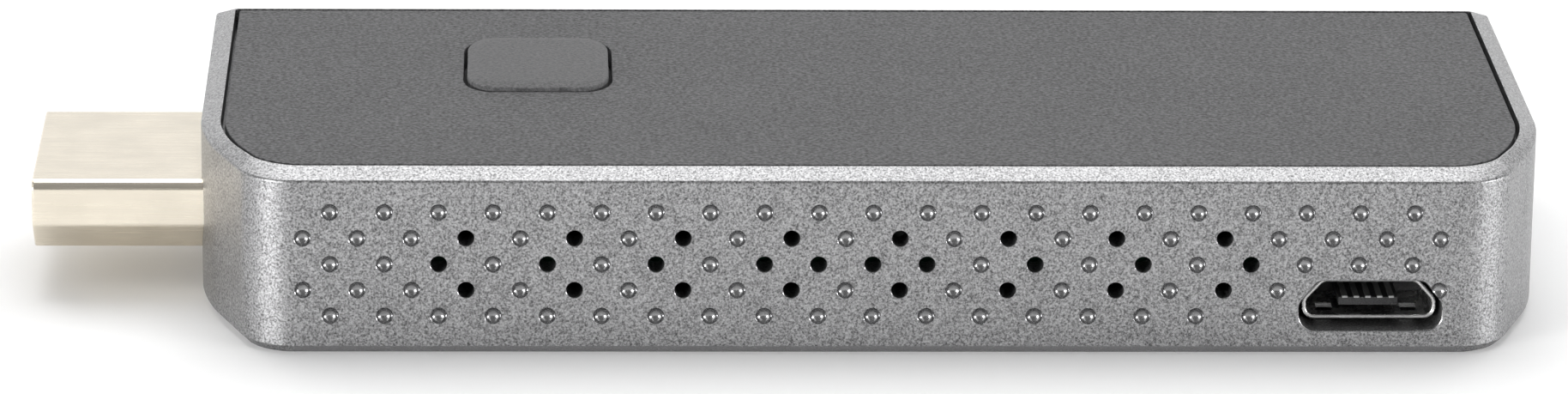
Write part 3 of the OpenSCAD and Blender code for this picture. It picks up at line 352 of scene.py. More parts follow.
# Finishes of the parts by a maker's word: the function that makes it, its name, its colour and what differs from
# the usual. Grain, streak and relief are in millimetres
FINISHES = {
    "aluminium": (blasted_metal, "bead_blasted_anodised_aluminium", "metal", {}),
    "pressed": (
        blasted_metal, "pressed_anodised_aluminium", "metal",
        dict(grain=0.14, rough=(0.2, 0.3), relief=0.001, contrast=0.12),
    ),
    "cover": (
        moulded, "spark_textured_abs_cover", "cover",
        dict(grain=0.22, rough=(0.5, 0.68), contrast=0.9, points=3.0, gloss=0.3),
    ),
    "button": (
        moulded, "spark_textured_abs_button", "button",
        dict(grain=0.18, rough=(0.5, 0.68), contrast=0.5, gloss=0.3),
    ),
    "gold": (drawn_metal, "drawn_brass_with_pale_gold_plating", "gold", {}),
    "contact": (drawn_metal, "stamped_bronze_with_gold_plating", "contact", dict(streak=(1.2, 0.05, 0.05))),
    "steel": (
        drawn_metal, "stamped_steel_with_nickel_plating", "steel",
        dict(streak=(0.8, 0.8, 0.06), rough=(0.2, 0.34)),
    ),
    "tin": (
        blasted_metal, "rolled_steel_with_tin_plating", "tin",
        dict(grain=0.25, rough=(0.38, 0.52), relief=0.002, contrast=0.12),
    ),
    "dome": (drawn_metal, "rolled_spring_steel", "steel", dict(streak=(1.5, 0.05, 0.05), rough=(0.22, 0.36))),
    "sink": (drawn_metal, "extruded_aluminium", "metal", dict(streak=(0.08, 4.0, 0.08), rough=(0.3, 0.45))),
    "polymer": (
        moulded, "moulded_liquid_crystal_polymer", "polymer",
        dict(grain=0.1, rough=(0.4, 0.55), contrast=0.25),
    ),
    "nylon": (moulded, "moulded_black_nylon", "polymer", dict(grain=0.2, rough=(0.45, 0.6), contrast=0.2)),
    "laminate": (circuit_laminate, "green_solder_resist_on_glass_laminate", "laminate", {}),
    "radio": (circuit_laminate, "blue_solder_resist_on_glass_laminate", "radio", {}),
    "epoxy": (
        moulded, "transfer_moulded_epoxy", "epoxy",
        dict(grain=0.07, rough=(0.5, 0.68), relief=0.006, contrast=0.3),
    ),
    "silicone": (
        moulded, "filled_silicone_sheet", "silicone",
        dict(grain=0.3, rough=(0.7, 0.85), relief=0.01, ior=1.41),
    ),
    "ferrite": (
        moulded, "pressed_and_fired_ferrite", "ferrite",
        dict(grain=0.12, rough=(0.5, 0.7), relief=0.008, ior=1.7),
    ),
    "ceramic": (
        moulded, "fired_antenna_ceramic", "ceramic",
        dict(grain=0.1, rough=(0.35, 0.5), ior=1.65, contrast=0.06),
    ),
    "capacitor": (
        moulded, "fired_barium_titanate", "capacitor",
        dict(grain=0.08, rough=(0.4, 0.55), ior=1.7, contrast=0.15),
    ),
}


def finish(key):
    """The material of a finish, made when it is first asked for."""
    make, name, colour, differences = FINISHES[key]
    base = getattr(bpy.context.scene.dongle_colours, colour)
    return bpy.data.materials.get(name) or make(name, base, **differences)


# Mesh helpers. Meshes are modelled in millimetres and shrunk to metres when they are done.

# Distance in millimetres within which two heights count as the same
NEAR = 0.001
# Segments of a large corner of an outline, the least of a small one, and the depth in millimetres that parts them
CORNER_STEPS, LEAST_STEPS, LARGE_CORNER = 28, 6, 2
# Share of a bend's radius by which its rounding shortens each side
BEND_SHARE = 0.45
# Thickness and depth of the steps of an opening's rounded lip, as shares of the lip
LIP_STEPS = ((0.4, 0.15), (0.35, 0.3), (0.25, 0.55))
# Lengths in millimetres by which a cutter reaches past what it cuts, and joined shapes into each other
OVERSHOOT, OVERLAP = 1.0, 0.1


class Millimetres:
    """Gives the sizes of a property group in millimetres."""

    def __init__(self, name):
        self.group = getattr(bpy.context.scene, name)

    def __getattr__(self, name):
        return getattr(self.group, name) / MM


def middle(low, high):
    """Middle of a box in millimetres."""
    return [(a + b) / 2 / MM for a, b in zip(low, high)]


def join(bm, other):
    """Adds another mesh and frees it."""
    mesh = bpy.data.meshes.new("joining")
    other.to_mesh(mesh)
    other.free()
    bm.from_mesh(mesh)
    bpy.data.meshes.remove(mesh)


def linked(name, bm):
    """Turns a mesh into an object of the scene and frees it."""
    mesh = bpy.data.meshes.new(name)
    bm.to_mesh(mesh)
    bm.free()
    made = bpy.data.objects.new(name, mesh)
    bpy.context.scene.collection.objects.link(made)
    return made


def set_down(bm, place, turn=0.0):
    """Turns a shape about Z and moves it to its place."""
    bmesh.ops.rotate(bm, cent=(0, 0, 0), matrix=Matrix.Rotation(turn, 3, "Z"), verts=bm.verts)
    bmesh.ops.translate(bm, vec=place, verts=bm.verts)


def round_points(bm, verts, reach, steps):
    """Rounds corners of a flat face."""
    bmesh.ops.bevel(bm, geom=verts, affect="VERTICES", offset=reach, segments=steps, profile=0.5, material=-1)


def soften(bm, edges, width, steps=3):
    """Rounds edges."""
    bm.normal_update()
    bmesh.ops.bevel(
        bm, geom=list(edges), affect="EDGES", offset=width, segments=steps, profile=0.5, material=-1, clamp_overlap=True
    )


def oval_face(bm, size, front, back, height=0.0, cut=None, steps=CORNER_STEPS):
    """Adds a flat face with oval front and back corners to a mesh: a square that is squashed, rounded and let go.
    A cut gives the front corners straight slants with rounded ends instead."""
    flat = bmesh.new()
    bmesh.ops.create_grid(flat, x_segments=1, y_segments=1, size=0.5)
    bmesh.ops.scale(flat, vec=(size[0], size[1], 1), verts=flat.verts)
    for corner, side in ((cut or front, -1), (back, 1)):
        squash = corner[0] / corner[1]
        bmesh.ops.scale(flat, vec=(1, squash, 1), verts=flat.verts)
        ends = [v for v in flat.verts if v.co.y * side > size[1] * squash / 2 - NEAR]
        even = steps if corner[1] > LARGE_CORNER else max(LEAST_STEPS, steps // 3)
        round_points(flat, ends, corner[0], 1 if corner == cut else even)
        bmesh.ops.scale(flat, vec=(1, 1 / squash, 1), verts=flat.verts)
    if cut:
        turns = (
            (front[0] - cut[0], [v for v in flat.verts if v.co.y < NEAR - size[1] / 2]),
            (front[1] - cut[1], [v for v in flat.verts if abs(v.co.y + size[1] / 2 - cut[1]) < NEAR]),
        )
        for reach, ends in turns:
            round_points(flat, ends, reach, steps // 2)
    bmesh.ops.translate(flat, vec=(0, 0, height), verts=flat.verts)
    before = set(bm.faces)
    join(bm, flat)
    return (set(bm.faces) - before).pop()


def shells(bm):
    """Groups of faces that hang together."""
    left = set(bm.faces)
    while left:
        group = {left.pop()}
        grow = list(group)
        while grow:
            near = {f for e in grow.pop().edges for f in e.link_faces} & left
            left -= near
            group |= near
            grow += near
        yield group


def outward(bm):
    """Turns the faces of each closed shell outwards, thin plates too."""
    bm.normal_update()
    bmesh.ops.recalc_face_normals(bm, faces=bm.faces)
    bm.normal_update()
    for shell in shells(bm):
        if sum(f.calc_area() * f.normal.dot(f.verts[0].co) for f in shell) < 0:
            bmesh.ops.reverse_faces(bm, faces=list(shell))
    bm.normal_update()


def inset_face(bm, face, thickness, depth=0.0):
    """Insets one face, which stays in the middle."""
    bm.normal_update()
    bmesh.ops.inset_region(
        bm, faces=[face], thickness=thickness, depth=depth, use_even_offset=True, use_boundary=True
    )


def stretched(bm, face, way, keep=True):
    """Extrudes a face and returns the moved one. The first face is kept unless told otherwise."""
    made = bmesh.ops.extrude_face_region(bm, geom=[face], use_keep_orig=keep)["geom"]
    moved = [g for g in made if isinstance(g, bmesh.types.BMFace)][0]
    bmesh.ops.translate(bm, vec=way, verts=list(moved.verts))
    if not keep and face.is_valid:
        bmesh.ops.delete(bm, geom=[face], context="FACES_ONLY")
    return moved


def ring_edges(bm, height, bend=0.0):
    """Edges that lie flat at a height and bend by at least an angle in radians."""
    flat = [e for e in bm.edges if all(abs(v.co.z - height) < NEAR for v in e.verts)]
    return [e for e in flat if e.calc_face_angle(0) >= bend]


def turned(bm, profile, places, axis="Z", steps=28):
    """Adds a closed turned shape at each place: a profile of radius and height spun round an axis."""
    shape = bmesh.new()
    verts = [shape.verts.new((r, 0, h)) for r, h in profile]
    edges = [shape.edges.new(pair) for pair in zip(verts, verts[1:])]
    bmesh.ops.spin(
        shape, geom=verts + edges, cent=(0, 0, 0), axis=(0, 0, 1), angle=math.tau, steps=steps,
        use_merge=True, use_duplicate=False,
    )
    bmesh.ops.remove_doubles(shape, verts=shape.verts, dist=NEAR / 2)
    if axis == "Y":
        quarter = Matrix.Rotation(math.radians(90), 3, "X")
        bmesh.ops.rotate(shape, cent=(0, 0, 0), matrix=quarter, verts=shape.verts)
    outward(shape)
    mesh = bpy.data.meshes.new("turning")
    shape.to_mesh(mesh)
    shape.free()
    here = Vector((0, 0, 0))
    for place in places:
        mesh.transform(Matrix.Translation(Vector(place) - here))
        here = Vector(place)
        bm.from_mesh(mesh)
    bpy.data.meshes.remove(mesh)


def block(bm, low, high, edge=0.0):
    """Box between two corners, with its edges rounded when asked."""
    made = bmesh.ops.create_cube(bm, size=1)["verts"]
    low, high = Vector(low), Vector(high)
    bmesh.ops.scale(bm, vec=high - low, verts=made)
    bmesh.ops.translate(bm, vec=(low + high) / 2, verts=made)
    if edge:
        soften(bm, dict.fromkeys(e for v in made for e in v.link_edges), edge, 2)


def carved(bm, cutter):
    """The first mesh with the second taken away, and both freed."""
    made = []
    for source in (bm, cutter):
        outward(source)
        made.append(linked("carving", source))
    cut = made[0].modifiers.new("cut", "BOOLEAN")
    cut.operation = "DIFFERENCE"
    cut.solver = "MANIFOLD"
    cut.object = made[1]
    bpy.context.view_layer.update()
    result = made[0].evaluated_get(bpy.context.evaluated_depsgraph_get()).to_mesh()
    new = bmesh.new()
    new.from_mesh(result)
    for o in made:
        mesh = o.data
        bpy.data.objects.remove(o)
        bpy.data.meshes.remove(mesh)
    return new


def keyed_outline(half, high, slant_width, slant_height, corner, bend, upside_down=False):
    """Six-cornered connector outline in the XZ plane, two corners rounded and the four bends softened."""
    bm = bmesh.new()
    points = (
        (slant_width - half, 0), (half - slant_width, 0), (half, slant_height),
        (half, high), (-half, high), (-half, slant_height),
    )
    verts = [bm.verts.new((x, 0, z)) for x, z in points]
    bm.faces.new(verts)
    corners = [v for v in verts if v.co.z > high - NEAR]
    bends = [v for v in verts if v not in corners]
    round_points(bm, corners, corner, 10)
    round_points(bm, bends, bend * BEND_SHARE, 4)
    if upside_down:
        bmesh.ops.scale(bm, vec=(1, 1, -1), verts=bm.verts)
        bmesh.ops.translate(bm, vec=(0, 0, high), verts=bm.verts)
    return bm


def sleeve(bm, reach, sheet, mouth):
    """Open tube from an outline in the XZ plane: stretched along Y, with a sheet wall and a rounded mouth."""
    face = bm.faces[:][0]
    far = stretched(bm, face, (0, reach, 0))
    outward(bm)
    loops = []
    for cap in (face, far):
        inset_face(bm, cap, sheet)
        loops += list(cap.edges)
        bmesh.ops.delete(bm, geom=[cap], context="FACES_ONLY")
    bmesh.ops.bridge_loops(bm, edges=loops)
    outward(bm)
    rim = [e for e in bm.edges if all(abs(v.co.y) < NEAR for v in e.verts)]
    rim = [e for e in rim if any(abs(f.normal.y) < 0.5 for f in e.link_faces)]
    soften(bm, rim, mouth, 4)


def flared(bm, lip, reach):
    """Stretches the one face of a mesh into a cutting bar along Y, with a rounded lip where it enters at zero."""
    bmesh.ops.translate(bm, vec=(0, -OVERSHOOT, 0), verts=bm.verts)
    face = stretched(bm, bm.faces[:][0], (0, OVERSHOOT, 0))
    for thickness, depth in LIP_STEPS:
        inset_face(bm, face, thickness * lip)
        bmesh.ops.translate(bm, vec=(0, depth * lip, 0), verts=list(face.verts))
    stretched(bm, face, (0, reach, 0), keep=False)
    outward(bm)


def piece(name, bm, key, body, node, sharp=24):
    """Turns a mesh in millimetres into a finished piece in metres that stands for a node.
    Edges that bend by more than the sharp angle, in degrees, keep a hard line."""
    bmesh.ops.remove_doubles(bm, verts=bm.verts, dist=NEAR / 5)
    outward(bm)
    bmesh.ops.scale(bm, vec=(MM, MM, MM), verts=bm.verts)
    made = linked(name, bm)
    made.data.shade_smooth()
    made.data.set_sharp_from_angle(angle=math.radians(sharp))
    made.data.materials.append(finish(key))
    even = made.modifiers.new("even_shading", "WEIGHTED_NORMAL")
    even.keep_sharp = True
    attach(made, body)
    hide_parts(node)
    return made


# Pieces

# Vent holes of each row from the top, in half steps from the middle of the dimple field
VENT_STEPS = [
    [],
    [-15, -11, -7, -3, 1, 5, 9, 13],
    [-16, -12, -8, -4, -2, 0, 2, 6, 10, 14],
    [-15, -11, -7, -3, 1, 5, 9, 13],
    [],
]
# Half steps from the middle to the last dimple of the even and the odd rows
ROW_ENDS = (20, 21)
# Reach and height of the points of a hole's flare, how far inside its radius a bowl ends, and how deep a bore
# starts, as shares of the lip
FLARE = ((0.12, -0.75), (0.45, -0.3), (1.1, 0.25))
BOWL_EDGE, BORE_START = 0.2, 1.6
BOWL_STEPS = 8
# Lengths in millimetres that cutters stand out of the front and reach through it
CUT_OUT, CUT_THROUGH = 0.8, 3.0
# Smallest radius of a back corner, rounding of the rim's outer edge, and strip beyond the corners where
# the faces are divided so that their shading ends there, in millimetres
LEAST_CORNER, RIM_EDGE, CORNER_STRIP = 0.25, 0.03, 0.06
# Share of an extra inset by which a corner's slant gets shorter, shares of a growth by which the plug's slants get
# wider and higher, and share by which a rounder button corner gets deeper than it gets longer
SLANT_SHARE, SLANT_GROWTH, DEEPER = 0.6, (0.4, 0.6), 1.5
# Upward part of the normal of a sloping face, from and to
SLOPING = (0.3, 0.95)
# Least depth of a face that gets the finish of the dimples, and how far past their depth it may lie, in millimetres
DENT_START, DENT_PAST = 0.002, 0.02
# Rounding in millimetres of the edges of the hooks and of the solder tabs, and bevel of the button's stem
HOOK_EDGE, TAB_EDGE, STEM_EDGE = 0.06, 0.05, 0.1
# Largest distance in millimetres between two points of one screw
SCREW_REACH = 4


def body_size():
    """Length, depth and height of the case in millimetres."""
    return [(HOUSING_HIGH[i] - HOUSING_LOW[i]) / MM for i in range(3)]


def case_plan(bm, sizes, inset=0.0, height=0.0, corner=None, cut=None):
    """Outline face of the case, or a smaller one with its own front corners."""
    long, deep = body_size()[:2]
    back = max(LEAST_CORNER, sizes.back_corner - inset)
    front = corner or (sizes.corner_length, sizes.corner_depth)
    return oval_face(bm, (long - 2 * inset, deep - 2 * inset), front, (back, back), height, cut)


def rim_plan(bm, sizes, extra=0.0, height=0.0):
    """Outline face at the inner edge of the rim, or smaller by an extra inset, with tighter corners than the case's."""
    corner = (sizes.cover_corner_length - extra, sizes.cover_corner_depth - extra)
    cut = (sizes.cover_cut_length - SLANT_SHARE * extra, sizes.cover_cut_depth - extra)
    return case_plan(bm, sizes, sizes.rim_width + extra, height, corner, cut)


def case_shell(sizes):
    """The case before its openings are cut: walls, sloping rim, ledge for the cover, cavity and floor."""
    long, _, high = body_size()
    ledge_level = high - sizes.cover_thickness
    bm = bmesh.new()
    under = case_plan(bm, sizes, height=sizes.foot_bevel, cut=(sizes.corner_cut_length, sizes.corner_cut_depth))
    top = stretched(bm, under, (0, 0, high - sizes.rim_drop - sizes.foot_bevel))
    outward(bm)
    inset_face(bm, under, sizes.foot_bevel, sizes.foot_bevel)
    border = list(top.edges)
    bmesh.ops.delete(bm, geom=[top], context="FACES_ONLY")
    rim = rim_plan(bm, sizes, height=high)
    bmesh.ops.bridge_loops(bm, edges=border + list(rim.edges))
    inset_face(bm, rim, sizes.rim_land)
    ledge = stretched(bm, rim, (0, 0, -sizes.cover_thickness), keep=False)
    corner = (sizes.cavity_corner_length, sizes.cavity_corner_depth)
    cavity = case_plan(bm, sizes, sizes.wall, ledge_level, corner)
    stretched(bm, cavity, (0, 0, sizes.floor - ledge_level))
    borders = list(ledge.edges) + list(cavity.edges)
    bmesh.ops.delete(bm, geom=[ledge, cavity], context="FACES_ONLY")
    bmesh.ops.bridge_loops(bm, edges=borders)
    outward(bm)
    soften(bm, ring_edges(bm, high - sizes.rim_drop), sizes.edge_round, 4)
    soften(bm, ring_edges(bm, sizes.foot_bevel) + ring_edges(bm, 0), sizes.edge_round)
    least, most = SLOPING
    outer = [e for e in ring_edges(bm, high) if any(least < f.normal.z < most for f in e.link_faces)]
    soften(bm, outer, RIM_EDGE, 2)
    end = long / 2 - sizes.corner_length - CORNER_STRIP
    for x in (-end, end):
        geom = bm.verts[:] + bm.edges[:] + bm.faces[:]
        bmesh.ops.bisect_plane(bm, geom=geom, plane_co=(x, 0, 0), plane_no=(1, 0, 0))
    return bm


def front_cutters(front, connectors):
    """Cutting shapes of the dimples and vent holes, each with a small flared lip."""
    face = -body_size()[1] / 2
    r, depth, lip = front.diameter / 2, front.depth, front.lip
    ball = (r * r + depth * depth) / (2 * depth)
    turn = math.asin(min(1, (r - BOWL_EDGE * lip) / ball))
    angles = [i / BOWL_STEPS * turn for i in range(BOWL_STEPS + 1)]
    bowl = [(ball * math.sin(a), ball - depth - ball * math.cos(a)) for a in angles]
    flare = [(r + reach * lip, height * lip) for reach, height in FLARE]
    close = [(flare[-1][0], CUT_OUT), (0, CUT_OUT)]
    through = [(0, -CUT_THROUGH), (r, -CUT_THROUGH), (r, -BORE_START * lip)]
    port_x, half = middle(PORT_LOW, PORT_HIGH)[0], (PORT_HIGH.x - PORT_LOW.x) / 2 / MM
    top = PORT_HIGH.z / MM + front.port_gap_above
    slope_high = connectors.port_slant_height + front.port_gap_above
    slope = connectors.port_slant_width / slope_high
    dents, holes = [], []
    for row, vents in enumerate(VENT_STEPS):
        last = ROW_ENDS[row % 2]
        z = front.top_row - row * front.row
        reach = half + front.port_gap - slope * max(0, z - top + slope_high)
        for step in range(-last, last + 1, 2):
            x = front.middle + step * front.step / 2
            if z - r >= top or abs(x - port_x) >= reach + r - front.port_overlap:
                (holes if step in vents else dents).append((x, face, z))
    bm = bmesh.new()
    turned(bm, bowl + flare + close, dents, axis="Y", steps=24)
    turned(bm, through + flare + close, holes, axis="Y", steps=24)
    return bm


def opening_cutters(sizes, front, connectors, buttons):
    """Cutting shapes of the port opening, the plug opening and the pockets of the snap hooks."""
    long, deep, high = body_size()
    lip, through = front.opening_lip, sizes.wall + OVERSHOOT
    aside, low, up = front.port_gap + lip, front.port_gap_below + lip, front.port_gap_above + lip
    half, tall = (PORT_HIGH.x - PORT_LOW.x) / 2 / MM, (PORT_HIGH.z - PORT_LOW.z) / MM
    port = keyed_outline(
        half + aside, tall + low + up, connectors.port_slant_width, connectors.port_slant_height + up,
        front.port_corner + lip, connectors.port_bend, upside_down=True,
    )
    flared(port, lip, through)
    set_down(port, (middle(PORT_LOW, PORT_HIGH)[0], -deep / 2, PORT_LOW.z / MM - low))
    plug = plug_profile(connectors, front.plug_gap + lip)
    flared(plug, lip, through)
    lay_along(plug, -long / 2)
    cutter = bmesh.new()
    join(cutter, port)
    join(cutter, plug)
    play = buttons.hook_gap
    width, reach = buttons.hook_width / 2 + play, buttons.hook_catch + play
    foot = high - sizes.cover_thickness - buttons.hook_length - play
    for place, turn in hook_places(sizes, buttons):
        pocket = bmesh.new()
        block(pocket, (-width, -OVERSHOOT, foot), (width, reach, foot + buttons.hook_catch_height + 2 * play))
        set_down(pocket, place, turn)
        join(cutter, pocket)
    return cutter


class DONGLE_OT_case(bpy.types.Operator):
    """Models the blasted metal case with its dimples, vent holes, port and plug openings"""

    bl_idname = "dongle.case"
    bl_label = "Case"

    def execute(self, context):
        sizes, front, connectors, buttons = map(
            Millimetres, ("dongle_case", "dongle_front", "dongle_connectors", "dongle_button")
        )
        bm = carved(case_shell(sizes), front_cutters(front, connectors))
        bm = carved(bm, opening_cutters(sizes, front, connectors, buttons))
        boss, hole = sizes.boss / 2, sizes.boss_hole / 2
        foot, rise = sizes.floor - 2 * OVERLAP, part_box("main_board")[0].z / MM
        bottom = rise - sizes.boss_hole_depth
        profile = [(0, foot), (boss, foot), (boss, rise), (hole, rise), (hole, bottom), (0, bottom)]
        turned(bm, profile, [(x, y, 0) for x, y in screw_places()])
        # the dimples, vent holes and front foot bevel are cut after the blasting, and are smoother
        long, deep = body_size()[:2]
        start, end = DENT_START - deep / 2, front.depth + DENT_PAST - deep / 2
        for f in bm.faces:
            x, y, z = f.calc_center_median()
            if start < y < end and abs(x) < long / 2 - sizes.corner_length and z < front.top_row + front.diameter:
                f.material_index = 1
        made = piece("blasted_case", bm, "aluminium", "body", "housing")
        made.data.materials.append(finish("pressed"))
        return {"FINISHED"}


def lay_along(bm, start):
    """Turns a shape stretched along Y so that it runs along X from a start."""
    set_down(bm, (start, 0, 0), math.radians(-90))


def plug_profile(connectors, grow=0.0):
    """Outline of the plug shell, or a larger one, as a face in the XZ plane at its own height."""
    half, tall = (PLUG_HIGH.y - PLUG_LOW.y) / 2 / MM, (PLUG_HIGH.z - PLUG_LOW.z) / MM
    wider, higher = [share * grow for share in SLANT_GROWTH]
    bm = keyed_outline(
        half + grow, tall + 2 * grow, connectors.plug_slant_width + wider,
        connectors.plug_slant_height + higher, connectors.plug_round + grow, connectors.plug_bend,
    )
    bmesh.ops.translate(bm, vec=(0, 0, PLUG_LOW.z / MM - grow), verts=bm.verts)
    return bm


def screw_places():
    """Middles of the board screws in millimetres, read from the loose parts of the screws' node."""
    screws = []
    for v in frame["nodes"]["board_screws"].data.vertices:
        near = [screw for screw in screws if math.dist(screw[0], v.co.xy) < SCREW_REACH * MM]
        if near:
            near[0].append(v.co.xy)
        else:
            screws.append([v.co.xy])
    return [[(min(way) + max(way)) / 2 / MM for way in zip(*screw)] for screw in screws]


def hook_places(sizes, buttons):
    """Places on the cavity wall and turns of the snap hooks, in millimetres and radians."""
    long, deep = body_size()[:2]
    side = deep / 2 - sizes.wall
    out = long / 2 - buttons.hook_end
    found = [((x, side * s, 0), 0 if s > 0 else math.pi) for x in (-out, 0, out) for s in (1, -1)]
    return found + [((long / 2 - sizes.wall, 0, 0), math.radians(-90))]


def snap_hook(sizes, buttons):
    """A snap hook of the cover, with its wall face at zero."""
    low = body_size()[2] - sizes.cover_thickness
    top, foot = low + OVERLAP, low - buttons.hook_length
    out = -buttons.hook_gap
    back, catch = out - buttons.hook_thickness, out + buttons.hook_catch
    rise = foot + buttons.hook_catch_height
    points = (
        (back, top), (back, foot), (out - buttons.hook_catch, foot), (catch, (foot + rise) / 2),
        (catch, rise), (out, rise), (out, top),
    )
    bm = bmesh.new()
    face = bm.faces.new([bm.verts.new((-buttons.hook_width / 2, y, z)) for y, z in points])
    stretched(bm, face, (buttons.hook_width, 0, 0))
    outward(bm)
    soften(bm, bm.edges, HOOK_EDGE, 2)
    return bm


def button_plan(bm, buttons, inset, height, extra=0.0):
    """Outline face of the button opening, smaller by an inset, with rounder corners if asked."""
    corner = (buttons.corner_length - inset + extra, buttons.corner_depth - inset + DEEPER * extra)
    size = (buttons.opening_length - 2 * inset, buttons.opening_depth - 2 * inset)
    face = oval_face(bm, size, corner, corner, height, steps=CORNER_STEPS // 2)
    bmesh.ops.translate(bm, vec=(*middle(CAP_LOW, CAP_HIGH)[:2], 0), verts=list(face.verts))
    return face


class DONGLE_OT_cover(bpy.types.Operator):
    """Models the inset cover with its button opening and snap hooks"""

    bl_idname = "dongle.cover"
    bl_label = "Cover"

    def execute(self, context):
        sizes, buttons = map(Millimetres, ("dongle_case", "dongle_button"))
        high = body_size()[2]
        low = high - sizes.cover_thickness
        bm = bmesh.new()
        under = rim_plan(bm, sizes, sizes.rim_land + sizes.cover_gap, low)
        stretched(bm, under, (0, 0, sizes.cover_thickness))
        cutter = bmesh.new()
        opening = button_plan(cutter, buttons, 0, low - OVERSHOOT)
        stretched(cutter, opening, (0, 0, sizes.cover_thickness + 2 * OVERSHOOT))
        bm = carved(bm, cutter)
        soften(bm, ring_edges(bm, high, bend=1.0), buttons.soften)
        for place, turn in hook_places(sizes, buttons):
            hook = snap_hook(sizes, buttons)
            set_down(hook, place, turn)
            join(bm, hook)
        piece("textured_cover", bm, "cover", "body", "top_cover")
        return {"FINISHED"}


class DONGLE_OT_button(bpy.types.Operator):
    """Models the raised button cap with its sloping edge, flange and stem"""

    bl_idname = "dongle.button"
    bl_label = "Button cap"

    def execute(self, context):
        sizes, buttons = map(Millimetres, ("dongle_case", "dongle_button"))
        high = body_size()[2]
        top, bottom = CAP_HIGH.z / MM, CAP_LOW.z / MM
        edge = high + buttons.edge_rise
        flange_top = high - sizes.cover_thickness - buttons.flange_play
        bm = bmesh.new()
        foot = button_plan(bm, buttons, buttons.gap, flange_top - OVERLAP, buttons.gap)
        upper = stretched(bm, foot, (0, 0, edge - flange_top + OVERLAP))
        outward(bm)
        inset_face(bm, upper, buttons.slope, top - edge)
        outward(bm)
        soften(bm, ring_edges(bm, edge), buttons.soften)
        soften(bm, ring_edges(bm, top, bend=0.1), 2 * buttons.soften, 4)
        flange = bmesh.new()
        foot = button_plan(flange, buttons, -buttons.flange, flange_top - buttons.flange_thickness)
        stretched(flange, foot, (0, 0, buttons.flange_thickness))
        join(bm, flange)
        stem, up = buttons.stem / 2, flange_top - 2 * OVERLAP
        profile = [(0, bottom), (stem - STEM_EDGE, bottom), (stem, bottom + STEM_EDGE), (stem, up), (0, up)]
        turned(bm, profile, [(*middle(CAP_LOW, CAP_HIGH)[:2], 0)])
        piece("button_key", bm, "button", "button", "button_cap")
        return {"FINISHED"}


# Rings of the snap dome from its middle to its foot
DOME_RINGS = 10


class DONGLE_OT_snap_dome(bpy.types.Operator):
    """Models the snap dome under the plunger"""

    bl_idname = "dongle.snap_dome"
    bl_label = "Snap dome"

    def execute(self, context):
        sheet = Millimetres("dongle_button").dome_sheet
        low, high = DOME_LOW / MM, DOME_HIGH / MM
        radius, height = (high.x - low.x) / 2, high.z - low.z
        ball = (radius ** 2 + height ** 2) / (2 * height)
        travel = max(next(j for j in frame["joints"] if j["name"] == "button_press")["range_m"]) / MM
        arcs = []
        for arc in (ball, ball - sheet):
            reach = math.sqrt(arc ** 2 - (ball - height) ** 2)
            across = [reach * i / DOME_RINGS for i in range(DOME_RINGS + 1)]
            arcs.append([(r, high.z - ball + math.sqrt(arc ** 2 - r ** 2)) for r in across])
        bm = bmesh.new()
        turned(bm, arcs[0] + arcs[1][::-1], [((low.x + high.x) / 2, (low.y + high.y) / 2, 0)], steps=64)
        dome = piece("snap_dome", bm, "dome", "body", "switch_dome")
        foot = ((DOME_LOW.x + DOME_HIGH.x) / 2, (DOME_LOW.y + DOME_HIGH.y) / 2, DOME_LOW.z)
        1 - travel / height
        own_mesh(dome)
        return {"FINISHED"}


class DONGLE_OT_plug(bpy.types.Operator):
    """Models the gold display plug shell and its solder tabs"""

    bl_idname = "dongle.plug"
    bl_label = "Display plug shell"

    def execute(self, context):
        connectors = Millimetres("dongle_connectors")
        sheet, end, side = connectors.plug_sheet, PLUG_HIGH.x / MM, PLUG_HIGH.y / MM
        rear = end - connectors.tab_length
        bm = plug_profile(connectors)
        sleeve(bm, rear - PLUG_LOW.x / MM, sheet, connectors.plug_mouth)
        lay_along(bm, PLUG_LOW.x / MM)
        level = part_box("main_board")[1].z / MM
        for s in (-1, 1):
            near, far = sorted((s * side, s * (side - connectors.tab_width)))
            block(bm, (rear - sheet, near, level), (end, far, level + sheet), TAB_EDGE)
        piece("plug_sleeve", bm, "gold", "body", "plug_shell", sharp=28)
        return {"FINISHED"}


class DONGLE_OT_port(bpy.types.Operator):
    """Models the nickel plated charging port shell with its latch holes"""

    bl_idname = "dongle.port"
    bl_label = "Charging port shell"

    def execute(self, context):
        connectors = Millimetres("dongle_connectors")
        sheet = connectors.port_sheet
        bm = keyed_outline(
            (PORT_HIGH.x - PORT_LOW.x) / 2 / MM, (PORT_HIGH.z - PORT_LOW.z) / MM, connectors.port_slant_width,
            connectors.port_slant_height, connectors.port_round, connectors.port_bend, upside_down=True,
        )
        sleeve(bm, (PORT_HIGH.y - PORT_LOW.y) / MM, sheet, connectors.port_mouth)
        cutter = bmesh.new()
        w, y = connectors.latch_width / 2, connectors.latch_recess
        for x in (-connectors.latch_offset, connectors.latch_offset):
            block(cutter, (x - w, y, -OVERSHOOT), (x + w, y + connectors.latch_length, 2 * sheet))
        bm = carved(bm, cutter)
        set_down(bm, (middle(PORT_LOW, PORT_HIGH)[0], PORT_LOW.y / MM, PORT_LOW.z / MM))
        piece("port_sleeve", bm, "steel", "body", "port_shell", sharp=28)
        return {"FINISHED"}


